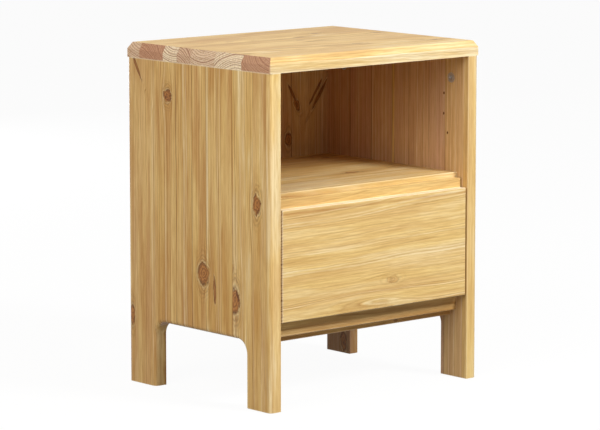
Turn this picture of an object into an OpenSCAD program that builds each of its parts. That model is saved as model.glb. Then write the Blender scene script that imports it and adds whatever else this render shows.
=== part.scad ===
// Pine nightstand: one open compartment over one inset drawer, on side panels cut to legs.
// X runs to the right, the front faces -Y, Z is up, and the origin is on the floor in the middle.

/* [Overall] */
// Width over the two side panels
overall_w = 400; // [360:5:520]
// Depth from the front edges to the rear edges of the side panels
overall_d = 320; // [310:5:420]
// Height from the floor to the top surface
overall_h = 500; // [450:5:640]

/* [Boards] */
// Thickness of the top board
top_t = 22; // [19:1:28]
// Thickness of each side panel
side_t = 20; // [18:1:26]
// Thickness of the shelf over the drawer
shelf_t = 22; // [19:1:28]
// Thickness of the board under the drawer
bottom_t = 22; // [19:1:28]
// Thickness of the back panel
back_t = 10; // [8:1:12]
// How far the rebate for the back panel is cut into each side panel
rebate_w = 10; // [8:1:11]
// Gap left at each edge of the back panel
back_gap = 0.5; // [0.3:0.1:1]

/* [Edges] */
// Height of the bevel round the top board
bevel_h = 10; // [4:1:14]
// How far that bevel runs in from the edge
bevel_in = 6; // [3:1:12]
// Radius of the round-over on the outer edges of the side panels
round_r = 7; // [3:1:9]
// Chamfer that eases the sharp arrises
ease = 1; // [0.5:0.1:1.5]

/* [Heights] */
// Underside of the bottom board above the floor
bottom_z = 101; // [90:1:125]
// Clear height of the drawer bay
bay_h = 161; // [150:1:190]

/* [Legs] */
// Width of each front leg
front_leg_w = 55; // [45:1:75]
// Width of each rear leg
rear_leg_w = 62; // [45:1:75]
// Radius of the two corners of the arch
arch_r = 20; // [8:1:30]
// Wood left between the arch and the underside of the bottom board
arch_drop = 5; // [3:1:20]

/* [Rail] */
// Height of the stiffening rail under the bottom board
rail_h = 9; // [8:1:20]
// Thickness of that rail
rail_t = 15; // [12:1:17]
// How far the rail stands behind the front edge of the bottom board
rail_setback = 12; // [8:1:14]

/* [Drawer front] */
// Thickness of the drawer front
front_t = 22; // [20:1:26]
// How far the drawer front lies behind the edges of the side panels
face_setback = 0.5; // [0:0.5:4]
// Gap between the drawer front and the front edge of the shelf
lap_gap = 0.5; // [0.4:0.1:2]
// Gap at each end of the drawer front
front_gap = 3; // [1.5:0.5:4]
// Gap between the lower edge of the drawer front and the level of the bottom board
foot_gap = 3; // [1:0.5:5]
// How far the drawer front rises past the underside of the shelf
lap_rise = 14.5; // [10:0.5:17]
// Height of the step along the top of the drawer front
step_h = 13.5; // [8:0.5:16]
// Depth of that step
step_d = 12; // [8:1:14]
// Width of the grip groove in the lower edge
grip_w = 10; // [8:1:12]
// Depth of the grip groove
grip_h = 9; // [6:1:11]
// Length of the grip groove
grip_l = 200; // [120:10:260]

/* [Drawer box] */
// Space left between the drawer box and the back panel
box_rear_gap = 27.5; // [5:0.5:60]
// Height of the drawer sides
box_h = 118; // [100:1:122]
// Thickness of the drawer sides
box_side_t = 12; // [12:1:16]
// Thickness of the drawer back
box_back_t = 12; // [10:1:16]
// Thickness of the drawer bottom
box_bottom_t = 4; // [3:0.5:6]
// Height of the groove for the bottom above the lower edge of the sides
groove_z = 10; // [10:1:16]
// Depth of that groove
groove_d = 6; // [4:0.5:7]
// Play of the drawer bottom in its groove
groove_gap = 0.2; // [0.1:0.1:0.4]

/* [Runners] */
// Space for a runner at each side of the drawer box
runner_w = 12.5; // [12.5:0.1:14]
// Length of the runners
runner_l = 250; // [220:5:255]
// Height of the runners above the bottom board
runner_z = 14; // [10:1:20]
// Distance of the runners behind the drawer front
runner_gap = 1.5; // [1:0.5:3]
// Sheet thickness of the runners
sheet_t = 1.2; // [1:0.1:1.5]
// Diameter of the rollers
roller_d = 16; // [14:0.5:18]
// Width of the rollers
roller_w = 5.6; // [4.6:0.1:5.8]
// Running gap of the rollers in the channel
roller_gap = 0.3; // [0.3:0.05:0.5]
// Diameter of the roller axles
axle_d = 5; // [4:0.2:5.6]
// Radial play of a roller on its axle
axle_play = 0.05; // [0.03:0.01:0.1]

/* [Fittings] */
// Diameter of the cam locks in the cabinet
cam_d = 15; // [12:1:16]
// Depth of the cam locks in the cabinet
cam_h = 12.5; // [12.5:0.1:14]
// Distance of a cam lock from the end of its board
cam_reach = 34; // [24:1:40]
// Diameter of the cabinet dowels
dowel_d = 8; // [6:1:10]
// Length of the cabinet dowels
dowel_l = 30; // [25:1:35]
// Diameter of the cam locks in the drawer
box_cam_d = 12; // [10:1:13]
// Distance of a drawer cam lock from the end of the drawer side
box_cam_reach = 24; // [18:1:28]
// Diameter of the drawer dowels
box_dowel_d = 6; // [5:0.5:7]
// Length of the drawer dowels
box_dowel_l = 25; // [20:1:30]

/* [Hidden] */
$fn = 64;

// Cut margin past a face
eps = 1;

// Pine, steel, zinc and nylon
pine = [0.87, 0.71, 0.45];
ply = [0.80, 0.66, 0.46];
beech = [0.83, 0.66, 0.45];
steel = [0.86, 0.86, 0.84];
zinc = [0.66, 0.67, 0.69];
nylon = [0.95, 0.95, 0.93];

// Planes of the cabinet
half_w = overall_w / 2;
front_y = -overall_d / 2;
rear_y = overall_d / 2;
in_x = half_w - side_t;
side_h = overall_h - top_t;
back_y = rear_y - back_t;
bay_z = bottom_z + bottom_t;
shelf_z = bay_z + bay_h;
board_y = front_y + face_setback + front_t + lap_gap;
arch_z = bottom_z - arch_drop;
arch_y0 = front_y + front_leg_w;
arch_y1 = rear_y - rear_leg_w;

// Planes of the drawer
face_y = front_y + face_setback;
face_back_y = face_y + front_t;
face_x = in_x - front_gap;
face_z0 = bay_z + foot_gap;
face_z1 = shelf_z + lap_rise;
box_x = in_x - runner_w;
box_rear_y = back_y - box_rear_gap;

// Section of a runner, measured inwards from the side panel and up from the channel's underside.
// The drawer half is lifted so that its flange clears the channel and runs on the front roller.
channel_w = 9.5;
channel_lip = 2.5;
channel_h = roller_d + 2 * roller_gap + 2 * sheet_t;
rail_lift = 0.8;
flange_z = channel_h + rail_lift;
flange_gap = 1.8;
foot_z = 4;
runner_zb = bay_z + runner_z;
box_z = runner_zb + foot_z;
runner_y = face_back_y + runner_gap;
roller_inset = 10;
roller_off = 2.4;
channel_roof_gap = 24;
axle_head_d = 7;
axle_head_t = 0.6;
axle_end_play = 0.1;
roller_dish_h = 0.8;
roller_rim = 1.5;
roller_hub_d = 8;
roller_x = in_x - roller_off - roller_w;
front_axle_y = runner_y + roller_inset;
rear_axle_y = runner_y + runner_l - roller_inset;
front_axle_z = runner_zb + flange_z - roller_gap - roller_d / 2;
rear_axle_z = runner_zb + sheet_t + roller_gap + roller_d / 2;

// Screws: shank, head, point and driver recess
screw_d = 3.4;
screw_head_d = 6.4;
screw_head_h = 1.8;
screw_point_d = 0.6;
screw_recess_w = 0.8;
screw_recess_l = 3.4;
screw_recess_h = 1.2;
back_screw_l = 25;
rail_screw_l = 22;
runner_screw_l = 14;
box_runner_screw_l = 10;
box_back_screw_l = 32;
box_bottom_screw_l = 12;

// Cam locks and their bolts
cam_axis = 9;
cam_recess_w = 1.4;
cam_recess_l = 7;
cam_recess_h = 2;
cam_rim = 2;
cam_play = 0.3;
bolt_thread_d = 5;
bolt_thread_l = 11;
bolt_shank_d = 7;
bolt_hole_d = 8;
bolt_neck_d = 4.4;
bolt_head_d = 6.6;
bolt_head_l = 4.4;
box_cam_axis = 6;
box_cam_h = 9.2;
box_bolt_shank_d = 5.4;
box_bolt_hole_d = 6;
dowel_chamfer = 1;
dowel_in_panel = 11;
dowel_hole_play = 1;
box_dowel_in_front = 10;

// Places of the fittings along the depth
top_cam_inset = 37;
board_cam_inset = 40;
hole_pitch = 32;
top_cams_y = [front_y + top_cam_inset, back_y - top_cam_inset];
top_dowels_y = [front_y + top_cam_inset + hole_pitch, back_y - top_cam_inset - hole_pitch];
board_cams_y = [board_y + board_cam_inset, back_y - board_cam_inset];
board_dowels_y = [board_y + board_cam_inset + hole_pitch, back_y - board_cam_inset - hole_pitch];
boards_z = [bottom_z, shelf_z];
top_cam_x = in_x + cam_axis;
board_fitting_dz = cam_axis;

// Places of the drawer fittings: distances down from the upper edge and in from the middle
box_cam_drop = 50;
box_dowel_offset = 24;
box_back_screw_drop = 22;
box_back_screw_pitch = 40;
box_bottom_screw_x = 80;
box_cam_z = box_z + box_h - box_cam_drop;
box_dowels_z = [box_cam_z - box_dowel_offset, box_cam_z + box_dowel_offset];
box_back_screws_z = [for (i = [0, 1]) box_z + box_h - box_back_screw_drop - i * box_back_screw_pitch];

// Places of the runner screws, in from the front and the rear end of the runners
runner_screw_front = 44;
runner_screw_rear = 38;
box_runner_screw_front = 60;
box_runner_screw_rear = 54;
runner_screw_z = runner_zb + channel_h / 2;
runner_screws_y = [runner_y + runner_screw_front, runner_y + runner_l - runner_screw_rear];
box_runner_screws_y = [runner_y + box_runner_screw_front, runner_y + runner_l - box_runner_screw_rear];

// Places of the screws in the rail and the back panel
rail_y = board_y + rail_setback;
rail_screw_pitch = 110;
board_screw_x = 90;
back_screw_margin = 28;
back_screws_per_side = 4;
back_screw_x = in_x + rebate_w / 2;
back_screw_pitch = (side_h - bottom_z - 2 * back_screw_margin) / (back_screws_per_side - 1);

// A flat shape in Y and Z, drawn out along X from x0 to x1
module along_x(x0, x1) {
    translate([x0, 0, 0])
        rotate([90, 0, 90])
            linear_extrude(x1 - x0)
                children();
}

// A flat shape in X and Z, drawn out along Y from y0 to y1
module along_y(y0, y1) {
    translate([0, y1, 0])
        rotate([90, 0, 0])
            linear_extrude(y1 - y0)
                children();
}

// A flat shape in X and Y, drawn out along Z from z0 to z1
module along_z(z0, z1) {
    translate([0, 0, z0])
        linear_extrude(z1 - z0)
            children();
}

// A rectangle from corner to corner with all four corners chamfered
module eased_rectangle(a0, b0, a1, b1, e) {
    polygon([
        [a0 + e, b0], [a1 - e, b0], [a1, b0 + e], [a1, b1 - e],
        [a1 - e, b1], [a0 + e, b1], [a0, b1 - e], [a0, b0 + e]
    ]);
}

// A round rod or hole along an axis: "x", "y" or "z", from the point onwards by l
module rod(axis, from, d, l) {
    turn = axis == "x" ? [0, 90, 0] : axis == "y" ? [-90, 0, 0] : [0, 0, 0];
    translate(from)
        rotate(turn)
            cylinder(d = d, h = l);
}

// Everything in both halves of the cabinet
module both_sides() {
    children();
    mirror([1, 0, 0])
        children();
}

// ---- fittings, each along its own +Z, with z = 0 at the face that it enters ----

// A countersunk screw of length l that points down, its head flush at z = 0
module screw(l) {
    rotate_extrude()
        polygon([
            [0, -l], [screw_point_d / 2, -l], [screw_d / 2, -l + screw_d],
            [screw_d / 2, -screw_head_h], [screw_head_d / 2, 0], [0, 0]
        ]);
}

// The cross in a screw head or a cam lock
module cross_recess(w, l, h) {
    for (a = [0, 90])
        rotate(a)
            translate([-l / 2, -w / 2, -h])
                cube([l, w, h + eps]);
}

// A screw with its driver recess
module driven_screw(l) {
    difference() {
        screw(l);
        cross_recess(screw_recess_w, screw_recess_l, screw_recess_h);
    }
}

// A dowel from z = 0 upwards, chamfered at both ends
module dowel(d, l) {
    r = d / 2;
    rotate_extrude()
        polygon([
            [0, 0], [r - dowel_chamfer, 0], [r, dowel_chamfer],
            [r, l - dowel_chamfer], [r - dowel_chamfer, l], [0, l]
        ]);
}

// A cam lock whose face is at z = 0, with its jaw towards +X at the depth of the bolt
module cam_lock(d, h, depth) {
    jaw_w = bolt_neck_d + 2 * cam_play;
    pocket_l = bolt_head_l + 2 * cam_play;
    difference() {
        translate([0, 0, -h])
            cylinder(d = d, h = h);
        // Pocket for the bolt's head
        translate([-pocket_l / 2, 0, -depth])
            rotate([0, 90, 0])
                cylinder(d = bolt_head_d + 2 * cam_play, h = pocket_l);
        // Slot for the bolt's neck
        translate([0, -jaw_w / 2, -h - eps])
            cube([d, jaw_w, h - depth + jaw_w / 2 + eps]);
        cross_recess(cam_recess_w, min(cam_recess_l, d - 2 * cam_rim), cam_recess_h);
    }
}

// The bolt of a cam lock of diameter lock_d: its thread is below z = 0, its head is at z = reach
module cam_bolt(reach, shank_d, lock_d) {
    head_z = reach - bolt_head_l / 2;
    neck_z = reach - lock_d / 2 - cam_play;
    rotate_extrude()
        polygon([
            [0, -bolt_thread_l], [bolt_thread_d / 2, -bolt_thread_l], [bolt_thread_d / 2, 0],
            [shank_d / 2, 0], [shank_d / 2, neck_z], [bolt_neck_d / 2, neck_z],
            [bolt_neck_d / 2, head_z], [bolt_head_d / 2, head_z],
            [bolt_head_d / 2, head_z + bolt_head_l], [0, head_z + bolt_head_l]
        ]);
}

// ---- places, which carry a fitting or the hole for it ----

// At each cam lock of the top, on the inner face of the right side panel
module at_top_cams() {
    for (y = top_cams_y)
        translate([in_x, y, side_h - cam_reach])
            rotate([0, -90, 0])
                children();
}

// At each bolt under the top, pointing down into the right side panel
module at_top_bolts() {
    for (y = top_cams_y)
        translate([top_cam_x, y, side_h])
            rotate([180, 0, 0])
                children();
}

// At each dowel between the right side panel and the top, from its lower end up
module at_top_dowels() {
    for (y = top_dowels_y)
        translate([top_cam_x, y, side_h + dowel_in_panel - dowel_l])
            children();
}

// At each cam lock under the right end of a board
module at_board_cams(z) {
    for (y = board_cams_y)
        translate([in_x - cam_reach, y, z])
            rotate([180, 0, 0])
                children();
}

// At each bolt in the right side panel, pointing into the end of a board
module at_board_bolts(z) {
    for (y = board_cams_y)
        translate([in_x, y, z + board_fitting_dz])
            rotate([0, -90, 0])
                children();
}

// At each dowel between the right side panel and a board, from the panel inwards
module at_board_dowels(z) {
    for (y = board_dowels_y)
        translate([in_x + dowel_in_panel, y, z + board_fitting_dz])
            rotate([0, -90, 0])
                children();
}

// At each screw through the right edge of the back panel
module at_back_screws() {
    for (i = [0 : back_screws_per_side - 1])
        translate([back_screw_x, rear_y, bottom_z + back_screw_margin + i * back_screw_pitch])
            rotate([-90, 0, 0])
                children();
}

// At each screw through the back panel into a board at height z
module at_board_back_screws(z, t) {
    for (x = [-board_screw_x, board_screw_x])
        translate([x, rear_y, z + t / 2])
            rotate([-90, 0, 0])
                children();
}

// At each screw up through the rail
module at_rail_screws() {
    for (x = [-rail_screw_pitch, 0, rail_screw_pitch])
        translate([x, rail_y + rail_t / 2, bottom_z - rail_h])
            rotate([180, 0, 0])
                children();
}

// At each screw of the right cabinet runner
module at_runner_screws() {
    for (y = runner_screws_y)
        translate([in_x - sheet_t, y, runner_screw_z])
            rotate([0, -90, 0])
                children();
}

// At each screw of the right drawer runner
module at_box_runner_screws() {
    for (y = box_runner_screws_y)
        translate([box_x + sheet_t, y, runner_screw_z])
            rotate([0, 90, 0])
                children();
}

// At the cam lock in the outer face of the right drawer side
module at_box_cam() {
    translate([box_x, face_back_y + box_cam_reach, box_cam_z])
        rotate([0, 90, 0])
            rotate(-90)
                children();
}

// At the bolt in the drawer front, pointing back into the right drawer side
module at_box_bolt() {
    translate([box_x - box_cam_axis, face_back_y, box_cam_z])
        rotate([-90, 0, 0])
            children();
}

// At each dowel between the drawer front and the right drawer side
module at_box_dowels() {
    for (z = box_dowels_z)
        translate([box_x - box_side_t / 2, face_back_y - box_dowel_in_front, z])
            rotate([-90, 0, 0])
                children();
}

// At each screw through the right drawer side into the drawer back
module at_box_back_screws() {
    for (z = box_back_screws_z)
        translate([box_x, box_rear_y - box_back_t / 2, z])
            rotate([0, 90, 0])
                children();
}

// At each screw up through the drawer bottom into the drawer back
module at_box_bottom_screws() {
    for (x = [-box_bottom_screw_x, box_bottom_screw_x])
        translate([x, box_rear_y - box_back_t / 2, box_z + groove_z])
            rotate([180, 0, 0])
                children();
}

// ---- cabinet ----

// The part of a bevelled edge profile above a board's half width
module bevelled_profile(half) {
    polygon([
        [-half, side_h], [half, side_h], [half, overall_h - bevel_h],
        [half - bevel_in, overall_h], [-half + bevel_in, overall_h], [-half, overall_h - bevel_h]
    ]);
}

// Top board, with a bevel round all four upper edges and mitred at the corners
module top_board() {
    color(pine)
        difference() {
            intersection() {
                along_y(front_y, rear_y)
                    bevelled_profile(half_w);
                along_x(-half_w, half_w)
                    bevelled_profile(overall_d / 2);
                along_z(side_h - eps, overall_h + eps)
                    eased_rectangle(-half_w, front_y, half_w, rear_y, ease);
            }
            both_sides() {
                at_top_bolts()
                    rod("z", [0, 0, -bolt_thread_l], bolt_thread_d, bolt_thread_l + eps);
                at_top_dowels()
                    rod("z", [0, 0, 0], dowel_d, dowel_l + dowel_hole_play);
            }
        }
}

// The arch between the legs, as a flat shape in Y and Z
module arch_shape() {
    translate([arch_y0, -eps])
        square([arch_y1 - arch_y0, arch_z - arch_r + eps]);
    translate([arch_y0 + arch_r, -eps])
        square([arch_y1 - arch_y0 - 2 * arch_r, arch_z + eps]);
    for (y = [arch_y0 + arch_r, arch_y1 - arch_r])
        translate([y, arch_z - arch_r])
            circle(r = arch_r);
}

// What a round-over takes off an edge at the origin, with the wood towards +X and +Y
module round_over_waste() {
    difference() {
        translate([-eps, -eps])
            square([round_r + eps, round_r + eps]);
        translate([round_r, round_r])
            circle(r = round_r);
    }
}

// The round-over at a corner of the arch, turned about the corner's centre
module arch_corner_round_over(y, turn) {
    translate([half_w, y, arch_z - arch_r])
        rotate([turn, 0, 0])
            rotate([0, 90, 0])
                rotate_extrude(angle = 90)
                    translate([arch_r, 0])
                        mirror([0, 1])
                            round_over_waste();
}

// One round-over that runs along the outer face: up both legs, round the arch and up both edges
module round_over_cut() {
    // Front and rear edges, over the whole height
    along_z(-eps, side_h + eps) {
        translate([half_w, front_y])
            mirror([1, 0])
                round_over_waste();
        translate([half_w, rear_y])
            rotate(180)
                round_over_waste();
    }
    // Edges of the arch along the legs
    along_z(-eps, arch_z - arch_r) {
        translate([half_w, arch_y0])
            rotate(180)
                round_over_waste();
        translate([half_w, arch_y1])
            mirror([1, 0])
                round_over_waste();
    }
    // Edge along the top of the arch
    along_y(arch_y0 + arch_r, arch_y1 - arch_r)
        translate([half_w, arch_z])
            mirror([1, 0])
                round_over_waste();
    arch_corner_round_over(arch_y0 + arch_r, 180);
    arch_corner_round_over(arch_y1 - arch_r, 90);
}

// Right side panel; the left one is its mirror image
module side_panel() {
    color(pine)
        difference() {
            along_x(in_x, half_w)
                difference() {
                    translate([front_y, 0])
                        square([overall_d, side_h]);
                    arch_shape();
                }
            round_over_cut();
            // Eased inner arris at the front
            translate([in_x, front_y, -eps])
                rotate(45)
                    translate([-ease / sqrt(2), -ease / sqrt(2), 0])
                        cube([ease * sqrt(2), ease * sqrt(2), side_h + 2 * eps]);
            // Rebate for the back panel
            translate([in_x - eps, back_y, -eps])
                cube([rebate_w + eps, back_t + eps, side_h + 2 * eps]);
            // Fittings to the top
            at_top_cams()
                rod("z", [0, 0, -cam_h], cam_d, cam_h + eps);
            at_top_bolts()
                rod("z", [0, 0, -eps], bolt_hole_d, cam_reach + eps);
            at_top_dowels()
                rod("z", [0, 0, -dowel_hole_play], dowel_d, dowel_l);
            // Fittings to the shelf and the bottom board
            for (z = boards_z) {
                at_board_bolts(z)
                    rod("z", [0, 0, -bolt_thread_l], bolt_thread_d, bolt_thread_l + eps);
                at_board_dowels(z)
                    rod("z", [0, 0, -dowel_hole_play], dowel_d, dowel_l);
            }
            at_back_screws()
                screw(back_screw_l);
            at_runner_screws()
                screw(runner_screw_l);
        }
}

module right_side_panel() {
    side_panel();
}

module left_side_panel() {
    mirror([1, 0, 0])
        side_panel();
}

// A board between the side panels, from the front line back to the back panel
module cross_board(z, t) {
    difference() {
        along_x(-in_x, in_x)
            polygon([
                [board_y + ease, z], [back_y, z], [back_y, z + t],
                [board_y + ease, z + t], [board_y, z + t - ease], [board_y, z + ease]
            ]);
        both_sides() {
            at_board_cams(z)
                rod("z", [0, 0, -cam_h], cam_d, cam_h + eps);
            at_board_bolts(z)
                rod("z", [0, 0, -eps], bolt_hole_d, cam_reach + eps);
            at_board_dowels(z)
                rod("z", [0, 0, 0], dowel_d, dowel_l + dowel_hole_play);
        }
        at_board_back_screws(z, t)
            screw(back_screw_l);
    }
}

module shelf_board() {
    color(pine)
        cross_board(shelf_z, shelf_t);
}

module bottom_board() {
    color(pine)
        difference() {
            cross_board(bottom_z, bottom_t);
            at_rail_screws()
                screw(rail_screw_l);
        }
}

// Stiffening rail, screwed up under the bottom board between the front legs
module stiffening_rail() {
    color(pine)
        difference() {
            along_x(-in_x, in_x)
                polygon([
                    [rail_y + ease, bottom_z - rail_h], [rail_y + rail_t, bottom_z - rail_h],
                    [rail_y + rail_t, bottom_z], [rail_y, bottom_z], [rail_y, bottom_z - rail_h + ease]
                ]);
            at_rail_screws()
                screw(rail_screw_l);
        }
}

// Back panel, let into the rebates from the bottom board up to the top
module back_panel() {
    back_x = in_x + rebate_w - back_gap;
    color(pine)
        difference() {
            translate([-back_x, back_y, bottom_z])
                cube([2 * back_x, back_t, side_h - bottom_z]);
            both_sides()
                at_back_screws()
                    screw(back_screw_l);
            at_board_back_screws(shelf_z, shelf_t)
                screw(back_screw_l);
            at_board_back_screws(bottom_z, bottom_t)
                screw(back_screw_l);
        }
}

// ---- cabinet fittings ----

module cam_locks() {
    color(zinc)
        both_sides() {
            at_top_cams()
                cam_lock(cam_d, cam_h, cam_axis);
            for (z = boards_z)
                at_board_cams(z)
                    cam_lock(cam_d, cam_h, cam_axis);
        }
}

module cam_bolts() {
    color(zinc)
        both_sides() {
            at_top_bolts()
                cam_bolt(cam_reach, bolt_shank_d, cam_d);
            for (z = boards_z)
                at_board_bolts(z)
                    cam_bolt(cam_reach, bolt_shank_d, cam_d);
        }
}

module cabinet_dowels() {
    color(beech)
        both_sides() {
            at_top_dowels()
                dowel(dowel_d, dowel_l);
            for (z = boards_z)
                at_board_dowels(z)
                    dowel(dowel_d, dowel_l);
        }
}

module back_panel_screws() {
    color(zinc) {
        both_sides()
            at_back_screws()
                driven_screw(back_screw_l);
        at_board_back_screws(shelf_z, shelf_t)
            driven_screw(back_screw_l);
        at_board_back_screws(bottom_z, bottom_t)
            driven_screw(back_screw_l);
    }
}

module rail_screws() {
    color(zinc)
        at_rail_screws()
            driven_screw(rail_screw_l);
}

// ---- runners ----

// Section of the cabinet channel with its lips; the roof stops short of the front roller
module channel_section(roof) {
    x0 = in_x;
    z0 = runner_zb;
    translate([x0 - sheet_t, z0])
        square([sheet_t, channel_h]);
    translate([x0 - channel_w, z0])
        square([channel_w, sheet_t]);
    translate([x0 - channel_w, z0])
        square([sheet_t, sheet_t + channel_lip]);
    if (roof) {
        translate([x0 - channel_w, z0 + channel_h - sheet_t])
            square([channel_w, sheet_t]);
        translate([x0 - channel_w, z0 + channel_h - sheet_t - channel_lip])
            square([sheet_t, sheet_t + channel_lip]);
    }
}

// Cabinet half of the right runner: an open channel that takes the drawer's roller
module cabinet_runner() {
    color(steel)
        difference() {
            union() {
                along_y(runner_y, runner_y + channel_roof_gap)
                    channel_section(false);
                along_y(runner_y + channel_roof_gap, runner_y + runner_l)
                    channel_section(true);
            }
            at_runner_screws()
                screw(runner_screw_l);
            rod("x", [in_x - sheet_t - eps, front_axle_y, front_axle_z], axle_d, sheet_t + 2 * eps);
        }
}

module right_cabinet_runner() {
    cabinet_runner();
}

module left_cabinet_runner() {
    mirror([1, 0, 0])
        cabinet_runner();
}

module cabinet_runner_screws() {
    color(zinc)
        both_sides()
            at_runner_screws()
                driven_screw(runner_screw_l);
}

// Drawer half of the right runner: a foot under the drawer side, a web and a flange over the roller
module drawer_runner() {
    foot_w = box_side_t;
    color(steel)
        difference() {
            along_y(runner_y, runner_y + runner_l) {
                translate([box_x, runner_zb + foot_z - sheet_t])
                    square([sheet_t, flange_z + 2 * sheet_t - foot_z]);
                translate([box_x - foot_w, runner_zb + foot_z - sheet_t])
                    square([foot_w + sheet_t, sheet_t]);
                translate([box_x, runner_zb + flange_z])
                    square([runner_w - flange_gap, sheet_t]);
            }
            at_box_runner_screws()
                screw(box_runner_screw_l);
            rod("x", [box_x - eps, rear_axle_y, rear_axle_z], axle_d, sheet_t + 2 * eps);
        }
}

module right_drawer_runner() {
    drawer_runner();
}

module left_drawer_runner() {
    mirror([1, 0, 0])
        drawer_runner();
}

module drawer_runner_screws() {
    color(zinc)
        both_sides()
            at_box_runner_screws()
                driven_screw(box_runner_screw_l);
}

// Nylon roller between x = 0 and x = roller_w, dished round its hub on both faces
module roller() {
    color(nylon)
        difference() {
            rod("x", [0, 0, 0], roller_d, roller_w);
            rod("x", [-eps, 0, 0], axle_d + 2 * axle_play, roller_w + 2 * eps);
            for (x = [-eps, roller_w - roller_dish_h])
                difference() {
                    rod("x", [x, 0, 0], roller_d - 2 * roller_rim, roller_dish_h + eps);
                    rod("x", [x - eps, 0, 0], roller_hub_d, roller_dish_h + 3 * eps);
                }
        }
}

module right_front_roller() {
    translate([roller_x, front_axle_y, front_axle_z])
        roller();
}

module left_front_roller() {
    mirror([1, 0, 0])
        right_front_roller();
}

module right_rear_roller() {
    translate([roller_x, rear_axle_y, rear_axle_z])
        roller();
}

module left_rear_roller() {
    mirror([1, 0, 0])
        right_rear_roller();
}

// Axles riveted into the cabinet runners, from the web inwards
module front_roller_axles() {
    play = axle_end_play;
    color(zinc)
        both_sides()
            translate([0, front_axle_y, front_axle_z]) {
                rod("x", [roller_x - play, 0, 0], axle_d, in_x - roller_x + play);
                rod("x", [roller_x - play - axle_head_t, 0, 0], axle_head_d, axle_head_t);
                rod("x", [roller_x + roller_w + play, 0, 0], axle_head_d, roller_off - sheet_t - play);
            }
}

// Axles riveted into the drawer runners, from the web outwards
module rear_roller_axles() {
    play = axle_end_play;
    color(zinc)
        both_sides()
            translate([0, rear_axle_y, rear_axle_z]) {
                rod("x", [box_x, 0, 0], axle_d, roller_x + roller_w + play - box_x);
                rod("x", [box_x + sheet_t, 0, 0], axle_head_d, roller_x - play - box_x - sheet_t);
                rod("x", [roller_x + roller_w + play, 0, 0], axle_head_d, axle_head_t);
            }
}

// ---- drawer ----

// Drawer front, stepped along the top so that its rear layer laps the edge of the shelf
module drawer_front() {
    ledge_z = face_z1 - step_h;
    grip_y = face_y + front_t / 2;
    color(pine)
        difference() {
            intersection() {
                along_x(-face_x, face_x)
                    polygon([
                        [face_y + ease, face_z0], [face_back_y, face_z0], [face_back_y, face_z1],
                        [face_y + step_d + ease, face_z1], [face_y + step_d, face_z1 - ease],
                        [face_y + step_d, ledge_z], [face_y + ease, ledge_z],
                        [face_y, ledge_z - ease], [face_y, face_z0 + ease]
                    ]);
                along_z(face_z0 - eps, face_z1 + eps)
                    eased_rectangle(-face_x, face_y, face_x, face_back_y + 2 * ease, ease);
            }
            // Grip groove with a round bottom in the lower edge
            translate([-grip_l / 2, grip_y - grip_w / 2, face_z0 - eps])
                cube([grip_l, grip_w, grip_h - grip_w / 2 + eps]);
            rod("x", [-grip_l / 2, grip_y, face_z0 + grip_h - grip_w / 2], grip_w, grip_l);
            // Groove for the drawer bottom
            translate([-box_x + box_side_t - groove_d, face_back_y - groove_d, box_z + groove_z])
                cube([2 * (box_x - box_side_t + groove_d), groove_d + eps, box_bottom_t + groove_gap]);
            both_sides() {
                at_box_bolt()
                    rod("z", [0, 0, -bolt_thread_l], bolt_thread_d, bolt_thread_l + eps);
                at_box_dowels()
                    rod("z", [0, 0, -dowel_hole_play], box_dowel_d, box_dowel_l);
            }
        }
}

// Right drawer side, grooved for the bottom
module drawer_side() {
    color(pine)
        difference() {
            along_y(face_back_y, box_rear_y)
                polygon([
                    [box_x - box_side_t, box_z], [box_x, box_z], [box_x, box_z + box_h - ease],
                    [box_x - ease, box_z + box_h], [box_x - box_side_t + ease, box_z + box_h],
                    [box_x - box_side_t, box_z + box_h - ease]
                ]);
            translate([box_x - box_side_t - eps, face_back_y - eps, box_z + groove_z])
                cube([groove_d + eps, box_rear_y - face_back_y + 2 * eps, box_bottom_t + groove_gap]);
            at_box_cam()
                rod("z", [0, 0, -box_cam_h], box_cam_d, box_cam_h + eps);
            at_box_bolt()
                rod("z", [0, 0, -eps], box_bolt_hole_d, box_cam_reach + eps);
            at_box_dowels()
                rod("z", [0, 0, 0], box_dowel_d, box_dowel_l + dowel_hole_play);
            at_box_back_screws()
                screw(box_back_screw_l);
            at_box_runner_screws()
                screw(box_runner_screw_l);
        }
}

module drawer_right_side() {
    drawer_side();
}

module drawer_left_side() {
    mirror([1, 0, 0])
        drawer_side();
}

// Drawer back, which stands on the drawer bottom between the sides
module drawer_back() {
    back_x = box_x - box_side_t;
    back_z = box_z + groove_z + box_bottom_t;
    color(pine)
        difference() {
            along_x(-back_x, back_x)
                polygon([
                    [box_rear_y - box_back_t, back_z], [box_rear_y, back_z],
                    [box_rear_y, box_z + box_h - ease], [box_rear_y - ease, box_z + box_h],
                    [box_rear_y - box_back_t + ease, box_z + box_h],
                    [box_rear_y - box_back_t, box_z + box_h - ease]
                ]);
            both_sides()
                at_box_back_screws()
                    screw(box_back_screw_l);
            at_box_bottom_screws()
                screw(box_bottom_screw_l);
        }
}

// Drawer bottom, slid into the grooves from behind
module drawer_bottom() {
    bottom_x = box_x - box_side_t + groove_d - groove_gap;
    bottom_y = face_back_y - groove_d + groove_gap;
    color(ply)
        difference() {
            translate([-bottom_x, bottom_y, box_z + groove_z])
                cube([2 * bottom_x, box_rear_y - bottom_y, box_bottom_t]);
            at_box_bottom_screws()
                screw(box_bottom_screw_l);
        }
}

module drawer_cam_locks() {
    color(zinc)
        both_sides()
            at_box_cam()
                cam_lock(box_cam_d, box_cam_h, box_cam_axis);
}

module drawer_cam_bolts() {
    color(zinc)
        both_sides()
            at_box_bolt()
                cam_bolt(box_cam_reach, box_bolt_shank_d, box_cam_d);
}

module drawer_dowels() {
    color(beech)
        both_sides()
            at_box_dowels()
                dowel(box_dowel_d, box_dowel_l);
}

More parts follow.
